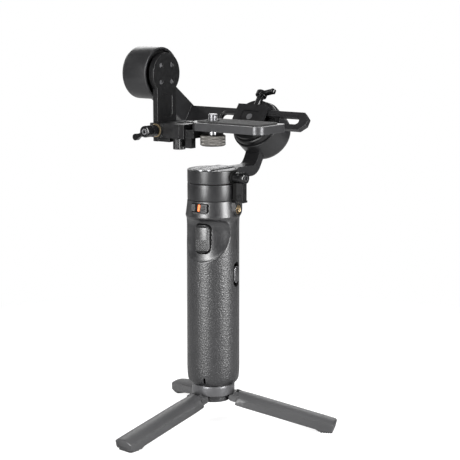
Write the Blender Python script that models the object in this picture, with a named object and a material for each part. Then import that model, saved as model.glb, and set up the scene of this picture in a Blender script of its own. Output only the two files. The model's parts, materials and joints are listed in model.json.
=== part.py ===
"""Handheld three-axis camera gimbal on a small folding tripod.

Built in millimetres round the pan axis and placed in metres, +Z up, standing on Z = 0 with the
middle of its outline at the origin. The three motor axes cross at one point, the head centre. The
handle is turned a little against the head, as the pan axis leaves it.
"""
from math import atan2, cos, pi, radians, sin

import bmesh
import bpy
from mathutils import Matrix, Vector

MM = 0.001
GAP = 0.3                      # clearance kept between neighbouring pieces

# Frames
# Heights below are measured from the foot of the pan axis's own frame, which stands at this place
PAN_AXIS = (-3.836, 5.335, 2.4)
GROUND = -PAN_AXIS[2]           # the surface the tripod stands on, in that frame
HANDLE_YAW = 9.5               # degrees the handle is turned against the head
HEAD_CENTRE = 236.0            # height where the pan, roll and tilt axes cross
ROLL_PITCH = 36.2              # degrees the roll axis falls towards the back

# Handle
HANDLE_BOTTOM = 27.3
HANDLE_TOP = 142.3
NECK_FLARE = 140.0             # where the handle starts to widen towards the neck
GRIP_RADIUS = 17.7
GRIP_WALL = 2.2
TRIGGER_ZONE_BORE = 12.2       # the front shell is thick behind the trigger
SCOOP_HEIGHT = 132.0
SCOOP_DEPTH = 2.4
SCOOP_HALF_ANGLE = 66.0
SCOOP_RISE = 9.6
SCOOP_FALL = 18.0
NECK_BOTTOM = 142.6
NECK_TOP = 153.6
NECK_RADIUS = 18.5
PAD_FACE = 19.6                # how far out the accessory pad stands
PAD_WIDTH = 10.0
PAD_TOP_EDGE = 152.8           # under the lock latch, which swings over it
INSERT_HEIGHT = 147.8
INSERT_RADIUS = 3.9
INSERT_BORE = 2.95

# Handle controls
TRIGGER = (10.3, 18.4)         # width and height
TRIGGER_MIDDLE = 128.7
TRIGGER_PIVOT = (-14.6, 135.8)
SWITCH_POCKET = (14.0, 7.0)
SWITCH_POCKET_MIDDLE = -0.9
SWITCH_HEIGHT = 149.5
SLIDER_MIDDLE = 2.4
ROCKER_HEIGHT = 103.5
ROCKER_WELL = (6.6, 16.4)
ROCKER = (4.6, 10.4)
ROCKER_AXIS = 15.6
PANEL = (15.4, 54.0)
PANEL_MIDDLE = 111.0
PANEL_FACE = 16.1
PANEL_THICKNESS = 1.5
JOYSTICK_HEIGHT = 106.0
JOYSTICK_PIVOT = 12.9
BUTTON_HEIGHTS = {"mode_button": 95.5, "power_button": 88.2}
BUTTON_RADIUS = 2.7
PORT_HEIGHT = 128.0
BOARD_FACE = 10.8
BATTERY_RADIUS = 9.3            # two cells in line in one wrap
BATTERY_LEVELS = (36.0, 71.0, 106.0)

# Motors
PAN_RADIUS = 17.2
PAN_BOTTOM = 153.9
PAN_SEAM = 165.0
PAN_TOP = 174.1
ROLL_RADIUS = 18.3
ROLL_BACK = 82.0               # distances back along the roll axis from the head centre
ROLL_SEAM = 61.3
ROLL_FRONT = 57.0
TILT_RADIUS = 17.8
TILT_OUTER = -65.5             # distances along X
TILT_RIM = -45.4
MOTOR_WALL = 1.6
SHAFT_RADIUS = 3.0
BEARING_RADIUS = 5.8

# Arms
ARM_HALF_WIDTH = 6.0
BAR_NEAR = 52.2
BAR_FAR = 55.8
BAR_WIDTH = 13.5
BAR_RIGHT = 47.0
BAR_SLOT = (-25.0, 40.0)
SLOT_WIDTH = 5.2
TILT_ARM_X = (-64.0, -54.5)
CLAMP_NEAR = 50.2
CLAMP_HALF_LENGTH = 13.0
CLAMP_HALF_WIDTH = 9.6

# Pan lock
LOCK_HEIGHT = 169.5
LOCK_RADIUS = 3.8
LOCK_END = 28.0

# Camera platform
RAIL_X = (-43.5, -39.4)
RAIL_HALF_WIDTH = 10.0
RAIL_FOOT = 190.5
PLATFORM_X = (-39.1, -16.0)
PLATFORM_Z = (193.6, 203.3)
PLATFORM_FRONT = -11.2
PLATFORM_BACK = 14.0
LEVER_X = -38.0
LEVER_Z = 198.5
PLATE_X = (-15.4, 47.0)
PLATE_Y = (-12.0, 20.0)
PLATE_Z = (200.0, 205.2)
PAD_TOP = 206.2
KNOB_RADIUS = 8.5
KNOB_Z = (189.5, 196.8)
THUMB_SCREW = (-24.0, -6.0)
THUMB_SCREW_FOOT = 186.0

# Tripod
LEG_AZIMUTHS = (-6.0, 114.0, 234.0)
LEG_PIVOT = (14.5, 18.0)       # radius and height of a leg's hinge
LEG_LENGTH = 72.0
LEG_SLOPE = 13.0
LEG_WIDTH = 16.0
KNUCKLE_RADIUS = 2.2           # the leg's inner end rolls round the hinge line
SOLE_THICKNESS = 0.7
SOLE_OUT = (60.6, 69.0)        # level distances from the hinge line
LUG_WIDTH = 6.0
PIN_RADIUS = 1.2
COLLAR_Z = (20.1, 27.0)
COLLAR_RADIUS = 13.6
HUB_Z = (15.4, 19.8)
HUB_RADIUS = 12.0
STUD_RADIUS = 3.0


# ---------------------------------------------------------------- frames

def rotation(degrees, axis):
    return Matrix.Rotation(radians(degrees), 4, axis)


HEAD = Matrix.Identity(4)
HANDLE = rotation(HANDLE_YAW, "Z")
CENTRE = Matrix.Translation((0, 0, HEAD_CENTRE))
# Z runs forward and up along the roll axis, X stays the head's X
ROLL = CENTRE @ rotation(90 - ROLL_PITCH, "X")
# Z runs along the head's +X, X along its Y
TILT = CENTRE @ Matrix(((0, 0, 1, 0), (1, 0, 0, 0), (0, 1, 0, 0), (0, 0, 0, 1)))
# extrusions along the head's X: outline given in (Y, Z)
ACROSS = Matrix(((0, 0, 1, 0), (1, 0, 0, 0), (0, 1, 0, 0), (0, 0, 0, 1)))
# extrusions along Y: outline given in (X, Z), extruded towards -Y
FORWARD = Matrix(((1, 0, 0, 0), (0, 0, -1, 0), (0, 1, 0, 0), (0, 0, 0, 1)))


def leg_frame(azimuth):
    """X runs out along the leg's azimuth, Y to its left, at the leg's hinge."""
    radius, height = LEG_PIVOT
    return rotation(azimuth - 90, "Z") @ Matrix.Translation((radius, 0, height))


# ---------------------------------------------------------------- shapes

def turned(profile, segments=24):
    """A solid of revolution about Z from a closed outline of (radius, height) points."""
    bm = bmesh.new()
    turns = [2 * pi * i / segments for i in range(segments)]
    rings = []
    for radius, height in profile:
        if radius == 0:
            rings.append([bm.verts.new((0, 0, height))] * segments)
        else:
            rings.append([bm.verts.new((radius * cos(a), radius * sin(a), height)) for a in turns])
    for ring, following in zip(rings, rings[1:] + rings[:1]):
        for i in range(segments):
            j = (i + 1) % segments
            corners = list(dict.fromkeys((ring[i], ring[j], following[j], following[i])))
            if len(corners) > 2:
                bm.faces.new(corners)
    return outward(bm)


def lofted(rings):
    """A closed solid through rings of points, capped at both ends."""
    bm = bmesh.new()
    loops = [[bm.verts.new(point) for point in ring] for ring in rings]
    count = len(loops[0])
    for loop, following in zip(loops, loops[1:]):
        for i in range(count):
            j = (i + 1) % count
            bm.faces.new((loop[i], loop[j], following[j], following[i]))
    bm.faces.new(loops[0][::-1])
    bm.faces.new(loops[-1])
    return outward(bm)


def extruded(outline, low, high, bevel=0.0):
    """A prism of an (x, y) outline from low to high along Z, with its end edges bevelled."""
    bm = lofted([[(x, y, z) for x, y in outline] for z in (low, high)])
    if bevel:
        ends = [edge for edge in bm.edges if abs(edge.verts[0].co.z - edge.verts[1].co.z) < 1e-6]
        bmesh.ops.bevel(bm, geom=ends, offset=bevel, segments=1, affect="EDGES")
    return bm


def block(x, y, z, bevel=0.0):
    """A box between pairs of limits, with all its edges bevelled."""
    outline = [(x[0], y[0]), (x[1], y[0]), (x[1], y[1]), (x[0], y[1])]
    bm = extruded(outline, *z)
    if bevel:
        bmesh.ops.bevel(bm, geom=bm.edges[:], offset=bevel, segments=1, affect="EDGES")
    return bm


def rounded(width, height, radius, steps=3, middle=(0, 0)):
    """The outline of a rectangle with round corners."""
    corners = ((1, 1, 0), (-1, 1, 90), (-1, -1, 180), (1, -1, 270))
    points = []
    for sx, sy, start in corners:
        for step in range(steps + 1):
            angle = radians(start + 90 * step / steps)
            x = sx * (width / 2 - radius) + radius * cos(angle)
            y = sy * (height / 2 - radius) + radius * sin(angle)
            points.append((middle[0] + x, middle[1] + y))
    return points


def circle(radius, middle=(0, 0), segments=16):
    turns = [2 * pi * i / segments for i in range(segments)]
    return [(middle[0] + radius * cos(a), middle[1] + radius * sin(a)) for a in turns]


def rod(radius, low, high, middle=(0, 0), segments=16, bevel=0.0):
    return extruded(circle(radius, middle, segments), low, high, bevel)


def arc(middle, radius, start, end, steps):
    angles = [radians(start + (end - start) * i / steps) for i in range(steps + 1)]
    return [(middle[0] + radius * cos(a), middle[1] + radius * sin(a)) for a in angles]


def ribbed(radius, depth, ribs, middle=(0, 0)):
    """The outline of a grip whose radius steps in and out between its ribs."""
    points = []
    for i in range(2 * ribs):
        reach = radius - depth * (i % 2)
        angle = pi * i / ribs
        points.append((middle[0] + reach * cos(angle), middle[1] + reach * sin(angle)))
    return points


def outward(bm):
    bmesh.ops.recalc_face_normals(bm, faces=bm.faces[:])
    if bm.calc_volume(signed=True) < 0:
        bmesh.ops.reverse_faces(bm, faces=bm.faces[:])
    return bm


def moved(bm, matrix):
    bm.transform(matrix)
    return bm


# ---------------------------------------------------------------- booleans

def boolean(body, tool, operation):
    """The Boolean of two solids, both used up."""
    blanks = []
    for bm in (body, tool):
        mesh = bpy.data.meshes.new("blank")
        bm.to_mesh(mesh)
        bm.free()
        blank = bpy.data.objects.new("blank", mesh)
        bpy.context.scene.collection.objects.link(blank)
        blanks.append(blank)
    step = blanks[0].modifiers.new("Boolean", "BOOLEAN")
    step.operation = operation
    step.object = blanks[1]
    bpy.context.view_layer.update()
    graph = bpy.context.evaluated_depsgraph_get()
    evaluated = blanks[0].evaluated_get(graph)
    result = bmesh.new()
    result.from_mesh(evaluated.to_mesh())
    evaluated.to_mesh_clear()
    for blank in blanks:
        mesh = blank.data
        bpy.data.objects.remove(blank)
        bpy.data.meshes.remove(mesh)
    bmesh.ops.remove_doubles(result, verts=result.verts[:], dist=1e-4)
    return result


def subtract(body, *tools):
    for tool in tools:
        body = boolean(body, tool, "DIFFERENCE")
    return body


def unite(body, *tools):
    for tool in tools:
        body = boolean(body, tool, "UNION")
    return body


# ---------------------------------------------------------------- materials and nodes

def material(name, colour, roughness, metallic=0.0):
    made = bpy.data.materials.new(name)
    made.use_nodes = True
    shader = made.node_tree.nodes["Principled BSDF"]
    shader.inputs["Base Color"].default_value = (*colour, 1.0)
    shader.inputs["Roughness"].default_value = roughness
    shader.inputs["Metallic"].default_value = metallic
    made.diffuse_color = (*colour, 1.0)
    return made


def make_materials():
    return {
        "grip": material("grip_plastic", (0.085, 0.085, 0.09), 0.62),
        "satin": material("satin_plastic", (0.075, 0.075, 0.08), 0.45),
        "metal": material("anodised_metal", (0.10, 0.10, 0.105), 0.38, 0.7),
        "dark": material("black_metal", (0.02, 0.02, 0.022), 0.45, 0.5),
        "knob": material("knurled_metal", (0.16, 0.155, 0.145), 0.45, 0.8),
        "brass": material("brass", (0.62, 0.43, 0.19), 0.3, 1.0),
        "steel": material("steel", (0.55, 0.55, 0.56), 0.3, 1.0),
        "rubber": material("rubber", (0.03, 0.03, 0.03), 0.85),
        "glass": material("display_glass", (0.01, 0.01, 0.012), 0.08),
        "orange": material("orange_mark", (0.85, 0.18, 0.03), 0.45),
        "copper": material("copper_winding", (0.60, 0.26, 0.12), 0.4, 1.0),
        "board": material("circuit_board", (0.02, 0.10, 0.05), 0.5),
        "cell": material("cell_wrap", (0.05, 0.12, 0.30), 0.4),
    }


def node(name, bm, finish, frame=HEAD, pivot=(0, 0, 0)):
    """One named piece: its solid, carried from a frame into the part's, with its origin at the pivot."""
    place = Matrix.Translation(PAN_AXIS) @ frame
    origin = place @ Vector(pivot)
    bm.transform(Matrix.Translation(-origin) @ place)
    outward(bm).transform(Matrix.Scale(MM, 4))
    mesh = bpy.data.meshes.new(name)
    bm.to_mesh(mesh)
    bm.free()
    mesh.materials.append(MATERIALS[finish])
    mesh.shade_smooth()
    mesh.set_sharp_from_angle(angle=radians(35))
    piece = bpy.data.objects.new(name, mesh)
    piece.location = origin * MM
    bpy.context.scene.collection.objects.link(piece)
    return piece


# ---------------------------------------------------------------- handle

def grip_radius(height):
    """The handle's outer radius: round at the foot, flaring a little into the neck."""
    if height < 40:
        fall = (40 - height) / (40 - HANDLE_BOTTOM)
        return GRIP_RADIUS + 0.2 - 0.8 * fall ** 2 - 2.5 * fall ** 9
    if height > NECK_FLARE:
        return GRIP_RADIUS + 0.6 * (height - NECK_FLARE) / (HANDLE_TOP - NECK_FLARE)
    return GRIP_RADIUS + 0.2 * max(0.0, (100 - height) / 60)


def scoop(angle, height):
    """How far the finger scoop cuts in, at an angle in degrees from straight ahead."""
    reach = SCOOP_RISE if height > SCOOP_HEIGHT else SCOOP_FALL
    ratio = (angle / SCOOP_HALF_ANGLE) ** 2 + ((height - SCOOP_HEIGHT) / reach) ** 2
    return SCOOP_DEPTH * max(0.0, 1 - ratio)


def half_shell(facing, bore, cut_in, levels, seam=GAP / 2):
    """Half of the handle's wall: facing -1 is the front, +1 the user's side."""
    steps = 24

    def outside(angle, height):
        return grip_radius(height) - (scoop(angle, height) if cut_in else 0)

    def inside(angle, height):
        return bore(height)

    def ring(radius_at, height):
        row = []
        for i in range(steps + 1):
            angle = -90 + 180 * i / steps
            radius = radius_at(angle, height)
            along = max(radius * cos(radians(angle)), seam)
            row.append((-facing * radius * sin(radians(angle)), facing * along, height))
        return row

    rows = [ring(outside, z) for z in levels]
    rows += [ring(inside, z) for z in reversed(levels)]
    bm = bmesh.new()
    loops = [[bm.verts.new(point) for point in row] for row in rows]
    for loop, following in zip(loops, loops[1:] + loops[:1]):
        for i in range(steps):
            bm.faces.new((loop[i], loop[i + 1], following[i + 1], following[i]))
    count = len(levels)
    for end in (0, steps):
        for i in range(count - 1):
            j = 2 * count - 1 - i
            bm.faces.new((loops[i][end], loops[i + 1][end], loops[j - 1][end], loops[j][end]))
    return outward(bm)


def hull_bore(height):
    if height < 31.5:
        return 11.9
    if height > 139.5:
        return TRIGGER_ZONE_BORE
    return GRIP_RADIUS - GRIP_WALL - max(0.0, (36 - height)) * 0.45


def front_bore(height):
    return TRIGGER_ZONE_BORE if height > 113 else hull_bore(height)


def side_tool(width, height, middle, inner, outer, side=1, radius=None):
    """A rounded cutter that enters the handle along its local X."""
    corner = width / 2 - 0.01 if radius is None else radius
    bm = extruded(rounded(width, height, corner, 4, (0, middle)), inner, outer)
    return moved(bm, ACROSS if side > 0 else rotation(180, "Z") @ ACROSS)


def make_handle_shells():
    low = [HANDLE_BOTTOM, 28.0, 29.0, 30.2, 31.4, 31.6, 34, 37, 40, 60, 100]
    scooped = [112.9, 113.1, 115, 118, 121, 124, 127, 130, 133, 135.5, 138]
    high = [139.4, 139.6, NECK_FLARE, 141.2, HANDLE_TOP]
    front = low + scooped + high
    rear = low + high
    shells = {
        "front_shell": half_shell(-1, front_bore, True, front),
        "rear_shell": half_shell(1, hull_bore, False, rear),
    }
    well_width, well_height = ROCKER_WELL
    for name in shells:
        shells[name] = subtract(
            shells[name],
            side_tool(well_width + 2 * GAP, well_height + 2 * GAP, ROCKER_HEIGHT, 13.0, 20.0),
            side_tool(3.6 + 2 * GAP, 9.4 + 2 * GAP, PORT_HEIGHT, 11.0, 20.0, side=-1),
        )
    width, height = TRIGGER
    opening = rounded(width + 1.0, height + 1.2, 3.2, 3, (0, TRIGGER_MIDDLE))
    pin = rod(PIN_RADIUS, -7.8, 7.8, TRIGGER_PIVOT, 12)
    shells["front_shell"] = subtract(
        shells["front_shell"],
        moved(extruded(opening, 8.0, 20.0), FORWARD),
        moved(pin, ACROSS),
    )
    panel_width, panel_height = PANEL
    window = rounded(panel_width + 2 * GAP, panel_height + 2 * GAP, 3.0, 3, (0, PANEL_MIDDLE))
    seat = PANEL_FACE - PANEL_THICKNESS - GAP
    shells["rear_shell"] = subtract(shells["rear_shell"], moved(extruded(window, -20.0, -seat), FORWARD))
    for name, bm in shells.items():
        node(name, bm, "grip", HANDLE)


def make_base():
    """The cap that closes the handle's foot, with a threaded boss for the tripod screw."""
    outline = [
        (3.35, HANDLE_BOTTOM), (11.6, HANDLE_BOTTOM), (11.6, 31.0), (6.0, 31.0), (6.0, 33.4), (3.35, 33.4),
    ]
    node("base_cap", turned(outline, 32), "satin", HANDLE)


def make_neck():
    """The collar between handle and pan motor, with the accessory pad and the slide switch pocket."""
    outline = [
        (11.0, NECK_BOTTOM), (NECK_RADIUS - 0.2, NECK_BOTTOM), (NECK_RADIUS, NECK_BOTTOM + 1.0),
        (17.5, 151.0), (17.2, NECK_TOP), (3.8, NECK_TOP), (3.8, 151.8), (14.2, 151.8),
        (14.2, 144.6), (11.0, 144.6),
    ]
    collar = turned(outline, 32)
    half = PAD_WIDTH / 2
    pad_outline = [(-half, PAD_TOP_EDGE)] + arc((0, INSERT_HEIGHT + 0.2), half, 180, 360, 8) + [(half, PAD_TOP_EDGE)]
    pad = moved(extruded(pad_outline, 12.5, PAD_FACE, 0.5), ACROSS)
    bore = moved(rod(INSERT_RADIUS + GAP, 8.0, 24.0, (0, INSERT_HEIGHT), 16), ACROSS)
    width, height = SWITCH_POCKET
    pocket = moved(extruded(rounded(width, height, 1.4, 3, (SWITCH_POCKET_MIDDLE, SWITCH_HEIGHT)), 15.7, 22.0), FORWARD)
    node("neck_collar", subtract(unite(collar, pad), bore, pocket), "satin", HANDLE)
    insert = turned([
        (INSERT_BORE, 9.0), (INSERT_RADIUS, 9.0), (INSERT_RADIUS, PAD_FACE), (INSERT_BORE, PAD_FACE),
    ], 16)
    insert = moved(insert, Matrix.Translation((0, 0, INSERT_HEIGHT)) @ ACROSS)
    node("side_insert", insert, "brass", HANDLE)


def make_slide_switch():
    marker = moved(extruded(rounded(1.7, 4.4, 0.6, 3, (-1.75, SWITCH_HEIGHT)), 16.0, 16.5), FORWARD)
    node("switch_marker", marker, "orange", HANDLE)
    slider = moved(extruded(rounded(4.6, 5.4, 0.8, 3, (SLIDER_MIDDLE, SWITCH_HEIGHT)), 16.8, 18.0, 0.2), FORWARD)
    ribs = [block((x - 0.22, x + 0.22), (-18.5, -17.7), (147.6, 151.4)) for x in (1.1, 2.4, 3.7)]
    node("mode_slider", unite(slider, *ribs), "satin", HANDLE, (SLIDER_MIDDLE, -17.4, SWITCH_HEIGHT))


def make_trigger():
    """A rocking trigger on its own trunnions, its face crowned, with a small switch behind it."""
    width, height = TRIGGER
    face = []
    for depth, inset in ((12.6, 0.0), (16.4, 0.0), (17.3, 0.7), (17.7, 2.0)):
        outline = rounded(width - 2 * inset, height - 2 * inset, 3.0 - inset, 3, (0, TRIGGER_MIDDLE))
        face.append([(x, -depth, z) for x, z in outline])
    trunnions = moved(rod(PIN_RADIUS - 0.2, -7.3, 7.3, TRIGGER_PIVOT, 12), ACROSS)
    trigger = unite(lofted(face), trunnions)
    node("trigger", trigger, "satin", HANDLE, (0, *TRIGGER_PIVOT))
    node("trigger_switch", block((-3, 3), (-10.4, -6.0), (121.0, 129.5), 0.3), "dark", HANDLE)


def make_rocker():
    width, height = ROCKER_WELL
    cup = moved(extruded(rounded(width, height, width / 2 - 0.01, 4, (0, ROCKER_HEIGHT)), 13.2, 17.2), ACROSS)
    hollow = side_tool(width - 1.4, height - 1.4, ROCKER_HEIGHT, 14.2, 20.0)
    node("rocker_bezel", subtract(cup, hollow), "dark", HANDLE)
    width, height = ROCKER
    rings = []
    for depth, inset in ((14.9, 0.0), (17.6, 0.0), (18.3, 0.6)):
        corner = width / 2 - inset - 0.01
        outline = rounded(width - 2 * inset, height - 2 * inset, corner, 4, (0, ROCKER_HEIGHT))
        rings.append([(depth, y, z) for y, z in outline])
    node("zoom_rocker", lofted(rings), "satin", HANDLE, (ROCKER_AXIS, 0, ROCKER_HEIGHT))


def make_side_port():
    shell = side_tool(3.6, 9.4, PORT_HEIGHT, 11.4, 17.3, side=-1)
    mouth = side_tool(2.6, 8.4, PORT_HEIGHT, 12.4, 20.0, side=-1)
    node("charge_port", subtract(shell, mouth), "steel", HANDLE)


def make_control_panel():
    """The flat panel on the user's side: display, joystick and two buttons."""
    width, height = PANEL
    back = PANEL_FACE - PANEL_THICKNESS
    plate = extruded(rounded(width, height, 2.7, 3, (0, PANEL_MIDDLE)), -PANEL_FACE, -back)
    tools = [extruded(rounded(12.0, 17.0, 1.2, 3, (0, 126.5)), -20.0, -PANEL_FACE + 0.8)]
    tools.append(rod(3.3, -20.0, -10.0, (0, JOYSTICK_HEIGHT), 16))
    for middle in BUTTON_HEIGHTS.values():
        tools.append(rod(BUTTON_RADIUS + GAP, -20.0, -10.0, (0, middle), 16))
    plate = moved(subtract(plate, *tools), FORWARD)
    node("control_panel", plate, "satin", HANDLE)
    glass = extruded(rounded(11.4, 16.4, 1.0, 3, (0, 126.5)), -PANEL_FACE, -PANEL_FACE + 0.5)
    node("display_window", moved(glass, FORWARD), "glass", HANDLE)
    for name, middle in BUTTON_HEIGHTS.items():
        button = turned([
            (0, -17.0), (2.1, -17.0), (BUTTON_RADIUS, -16.6), (BUTTON_RADIUS, -14.2), (3.3, -14.2),
            (3.3, -12.9), (0, -12.9),
        ], 16)
        button = moved(button, FORWARD @ Matrix.Translation((0, middle, 0)))
        node(name, button, "satin", HANDLE, (0, PANEL_FACE, middle))


def make_joystick():
    middle = FORWARD @ Matrix.Translation((0, JOYSTICK_HEIGHT, 0))
    cradle = turned([(2.9, -13.4), (4.2, -13.4), (4.2, -12.4), (2.9, -12.4)], 16)
    node("joystick_cradle", moved(cradle, middle), "dark", HANDLE, (0, JOYSTICK_PIVOT, JOYSTICK_HEIGHT))
    outline = [
        (0, -12.5), (1.6, -12.5), (1.6, -17.0), (3.4, -17.0), (4.3, -17.6), (4.3, -18.1), (3.6, -18.7), (0, -18.3),
    ]
    stick = moved(turned(outline, 16), middle)
    node("joystick_stick", stick, "rubber", HANDLE, (0, JOYSTICK_PIVOT, JOYSTICK_HEIGHT))


def make_electronics():
    board = block((-8.5, 8.5), (BOARD_FACE - 1.2, BOARD_FACE), (44.0, 136.0))
    switches = [block((-2, 2), (BOARD_FACE - 0.2, 11.9), (z - 2, z + 2)) for z in BUTTON_HEIGHTS.values()]
    stick_base = block((-5, 5), (BOARD_FACE - 0.2, 11.4), (JOYSTICK_HEIGHT - 5, JOYSTICK_HEIGHT + 5))
    chip = block((-4, 4), (BOARD_FACE - 2.2, BOARD_FACE - 1.0), (112.0, 120.0))
    node("main_board", unite(board, *switches, stick_base, chip), "board", HANDLE)
    low, joint, high = BATTERY_LEVELS
    outline = [
        (0, low), (BATTERY_RADIUS, low), (BATTERY_RADIUS, joint - 0.8), (BATTERY_RADIUS - 0.8, joint),
        (BATTERY_RADIUS, joint + 0.8), (BATTERY_RADIUS, high), (3.2, high), (3.2, high + 1.4), (0, high + 1.4),
    ]
    pack = moved(turned(outline, 16), Matrix.Translation((0, -2.6, 0)))
    node("battery_pack", pack, "cell", HANDLE)


# ---------------------------------------------------------------- motors

def motor_stator(prefix, frame, radius, depth):
    """Stator and bearing inside a housing whose floor starts at Z = 0 and whose rim is at depth."""
    floor = MOTOR_WALL + GAP
    outline = [(6.2, floor), (radius - 5.2, floor), (radius - 4.2, floor + 1.0), (radius - 4.2, depth - 2.0),
               (radius - 5.2, depth - 1.2), (6.2, depth - 1.2)]
    node(prefix + "_stator", turned(outline, 16), "copper", frame)
    outline = [(SHAFT_RADIUS + GAP, floor), (BEARING_RADIUS, floor), (BEARING_RADIUS, floor + 4.0),
               (SHAFT_RADIUS + GAP, floor + 4.0)]
    node(prefix + "_bearing", turned(outline, 16), "steel", frame)


def rotor_core(radius, depth):
    """Outline of the rotor inside the housing, from the shaft's end out to the magnet skirt."""
    web = depth + GAP
    floor = MOTOR_WALL + 2 * GAP
    return [
        (0, floor), (SHAFT_RADIUS, floor), (SHAFT_RADIUS, web), (radius - 3.8, web), (radius - 3.8, floor + 0.6),
        (radius - 2.3, floor + 0.6), (radius - 2.3, web),
    ]


def make_pan_motor():
    frame = Matrix.Translation((0, 0, PAN_BOTTOM))
    depth = PAN_SEAM - PAN_BOTTOM
    radius = PAN_RADIUS
    housing = [
        (0, 0), (radius - 0.5, 0), (radius, 0.5), (radius, depth - 0.4), (radius - 0.4, depth),
        (radius - MOTOR_WALL, depth), (radius - MOTOR_WALL, MOTOR_WALL), (0, MOTOR_WALL),
    ]
    node("pan_housing", turned(housing, 32), "metal", HANDLE @ frame)
    motor_stator("pan", HANDLE @ frame, radius, depth)
    top = PAN_TOP - PAN_BOTTOM
    rotor = rotor_core(radius, depth) + [
        (radius - 0.4, depth + GAP), (radius, depth + GAP + 0.4), (radius, top - 0.5),
        (radius - 0.5, top), (radius - 1.6, top), (radius - 1.6, top - 2.0), (0, top - 2.0),
    ]
    node("pan_rotor", turned(rotor, 32), "metal", frame)
    cap = turned([
        (0, top - 1.7), (radius - 1.9, top - 1.7), (radius - 1.9, top - 0.3), (radius - 2.3, top + 0.1), (0, top + 0.1),
    ], 32)
    band = block((-6.0, 6.0), (-9.5, 14.0), (top - 0.5, top + 0.7), 0.3)
    node("pan_cap", unite(cap, band), "metal", frame)


def make_pan_lock():
    barrel = rod(LOCK_RADIUS, PAN_RADIUS - 1.0, LOCK_END, (0, LOCK_HEIGHT), 24, 0.5)
    barrel = moved(barrel, ACROSS)
    clear = rod(PAN_RADIUS + GAP, 150.0, 180.0, segments=32)
    socket = moved(rod(1.3, LOCK_END - 1.2, LOCK_END + 1, (0, LOCK_HEIGHT), 6), ACROSS)
    node("lock_barrel", subtract(barrel, clear, socket), "dark")
    outline = [(-2.3, 153.2), (2.3, 153.2), (2.3, 163.4)]
    outline += [(1.5, 165.4), (-1.5, 165.4), (-2.3, 163.4)]
    tab = moved(extruded(outline, 19.8, 27.3, 0.4), ACROSS)
    node("pan_lock_latch", tab, "dark", HEAD, (23.5, 0, LOCK_HEIGHT))


def make_pan_arm():
    """The cranked arm from the pan rotor up to the roll motor, seen from the side as (Y, Z)."""
    outline = [(12.0, 165.6), (36.0, 165.6)]
    outline += arc((36.0, 177.6), 12.0, -90, -32, 5)[1:]
    outline += [(53.0, 182.0), (50.0, 190.0), (45.6, 182.0), (42.2, 176.0)]
    outline += arc((37.0, 178.6), 5.6, -28, -92, 4)
    outline += [(12.0, 173.4)]
    arm = moved(extruded(outline, -ARM_HALF_WIDTH, ARM_HALF_WIDTH, 1.0), ACROSS)
    rotor = rod(PAN_RADIUS + GAP, 150.0, 180.0, segments=32)
    motor = moved(rod(ROLL_RADIUS + GAP, -ROLL_BACK - 3, -ROLL_SEAM + 3, segments=32), ROLL)
    node("pan_arm", subtract(arm, rotor, motor), "metal")


def make_roll_motor():
    """Housing on the pan arm, rotor and clamp turning with the roll arm."""
    frame = ROLL @ Matrix.Translation((0, 0, -ROLL_BACK))
    depth = ROLL_BACK - ROLL_SEAM
    radius = ROLL_RADIUS
    corner = 6.0
    housing = [(0, 0), (radius - corner, 0)]
    housing += arc((radius - corner, corner), corner, -90, 0, 5)[1:]
    housing += [(radius, depth - 0.4), (radius - 0.4, depth), (radius - MOTOR_WALL, depth),
                (radius - MOTOR_WALL, corner + 1), (radius - corner - 1, MOTOR_WALL), (0, MOTOR_WALL)]
    node("roll_housing", turned(housing, 32), "metal", frame)
    inside = frame @ Matrix.Translation((0, 0, 4.0))
    motor_stator("roll", inside, radius - 0.6, depth - 4.0)
    top = ROLL_BACK - ROLL_FRONT
    rotor = rotor_core(radius - 0.6, depth - 4.0) + [
        (radius - 1.6, depth - 4.0 + GAP), (radius - 1.0, depth - 3.4 + GAP),
        (radius - 1.0, top - 5.0), (radius - 2.0, top - 4.0), (0, top - 4.0),
    ]
    node("roll_rotor", turned(rotor, 32), "dark", inside)


def make_roll_clamp():
    half_y = CLAMP_HALF_WIDTH
    base = rod(15.5, -ROLL_FRONT + GAP, -54.0, segments=24)
    half_x = CLAMP_HALF_LENGTH
    guide = block((-half_x, half_x), (-half_y, half_y), (-ROLL_FRONT + GAP, -CLAMP_NEAR), 0.8)
    half_bar = BAR_WIDTH / 2 + GAP
    channel = block((-30, 30), (-half_bar, half_bar), (-BAR_FAR - GAP, -BAR_NEAR + GAP))
    slot = block((-30, 30), (half_bar - 1, 30), (-54.3, -53.7))
    body = subtract(unite(base, guide), channel, slot)
    place = Matrix.Translation((0, 0, -BAR_NEAR - 1.8)) @ rotation(-90, "X")
    notch = moved(rod(2.8, half_y - 1.0, 20.0), place)
    guide_pin = rod(SLOT_WIDTH / 2 - GAP, -BAR_FAR - 0.6, -BAR_NEAR + 0.6, segments=12)
    node("roll_clamp", subtract(unite(body, guide_pin), notch), "dark", ROLL)
    barrel = half_y + 8.5
    stem = turned([
        (0, half_y + GAP), (2.4, half_y + GAP), (2.4, barrel), (3.6, barrel), (4.0, barrel + 0.4),
        (4.0, barrel + 3.6), (3.6, barrel + 4.0), (0, barrel + 4.0),
    ], 16)
    handle = [(-1.6, 0), (-1.6, 11.0)] + arc((0, 12.4), 2.2, 150, 30, 4) + [(1.6, 11.0), (1.6, 0)]
    arm = extruded(handle[::-1], barrel + 0.9, barrel + 3.5, 0.4)
    lever = unite(stem, moved(arm, rotation(-110, "Z")))
    node("roll_lever", moved(lever, place), "dark", ROLL, (0, 0, -BAR_NEAR - 1.8))


# ---------------------------------------------------------------- tilt arm and motor

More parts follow.
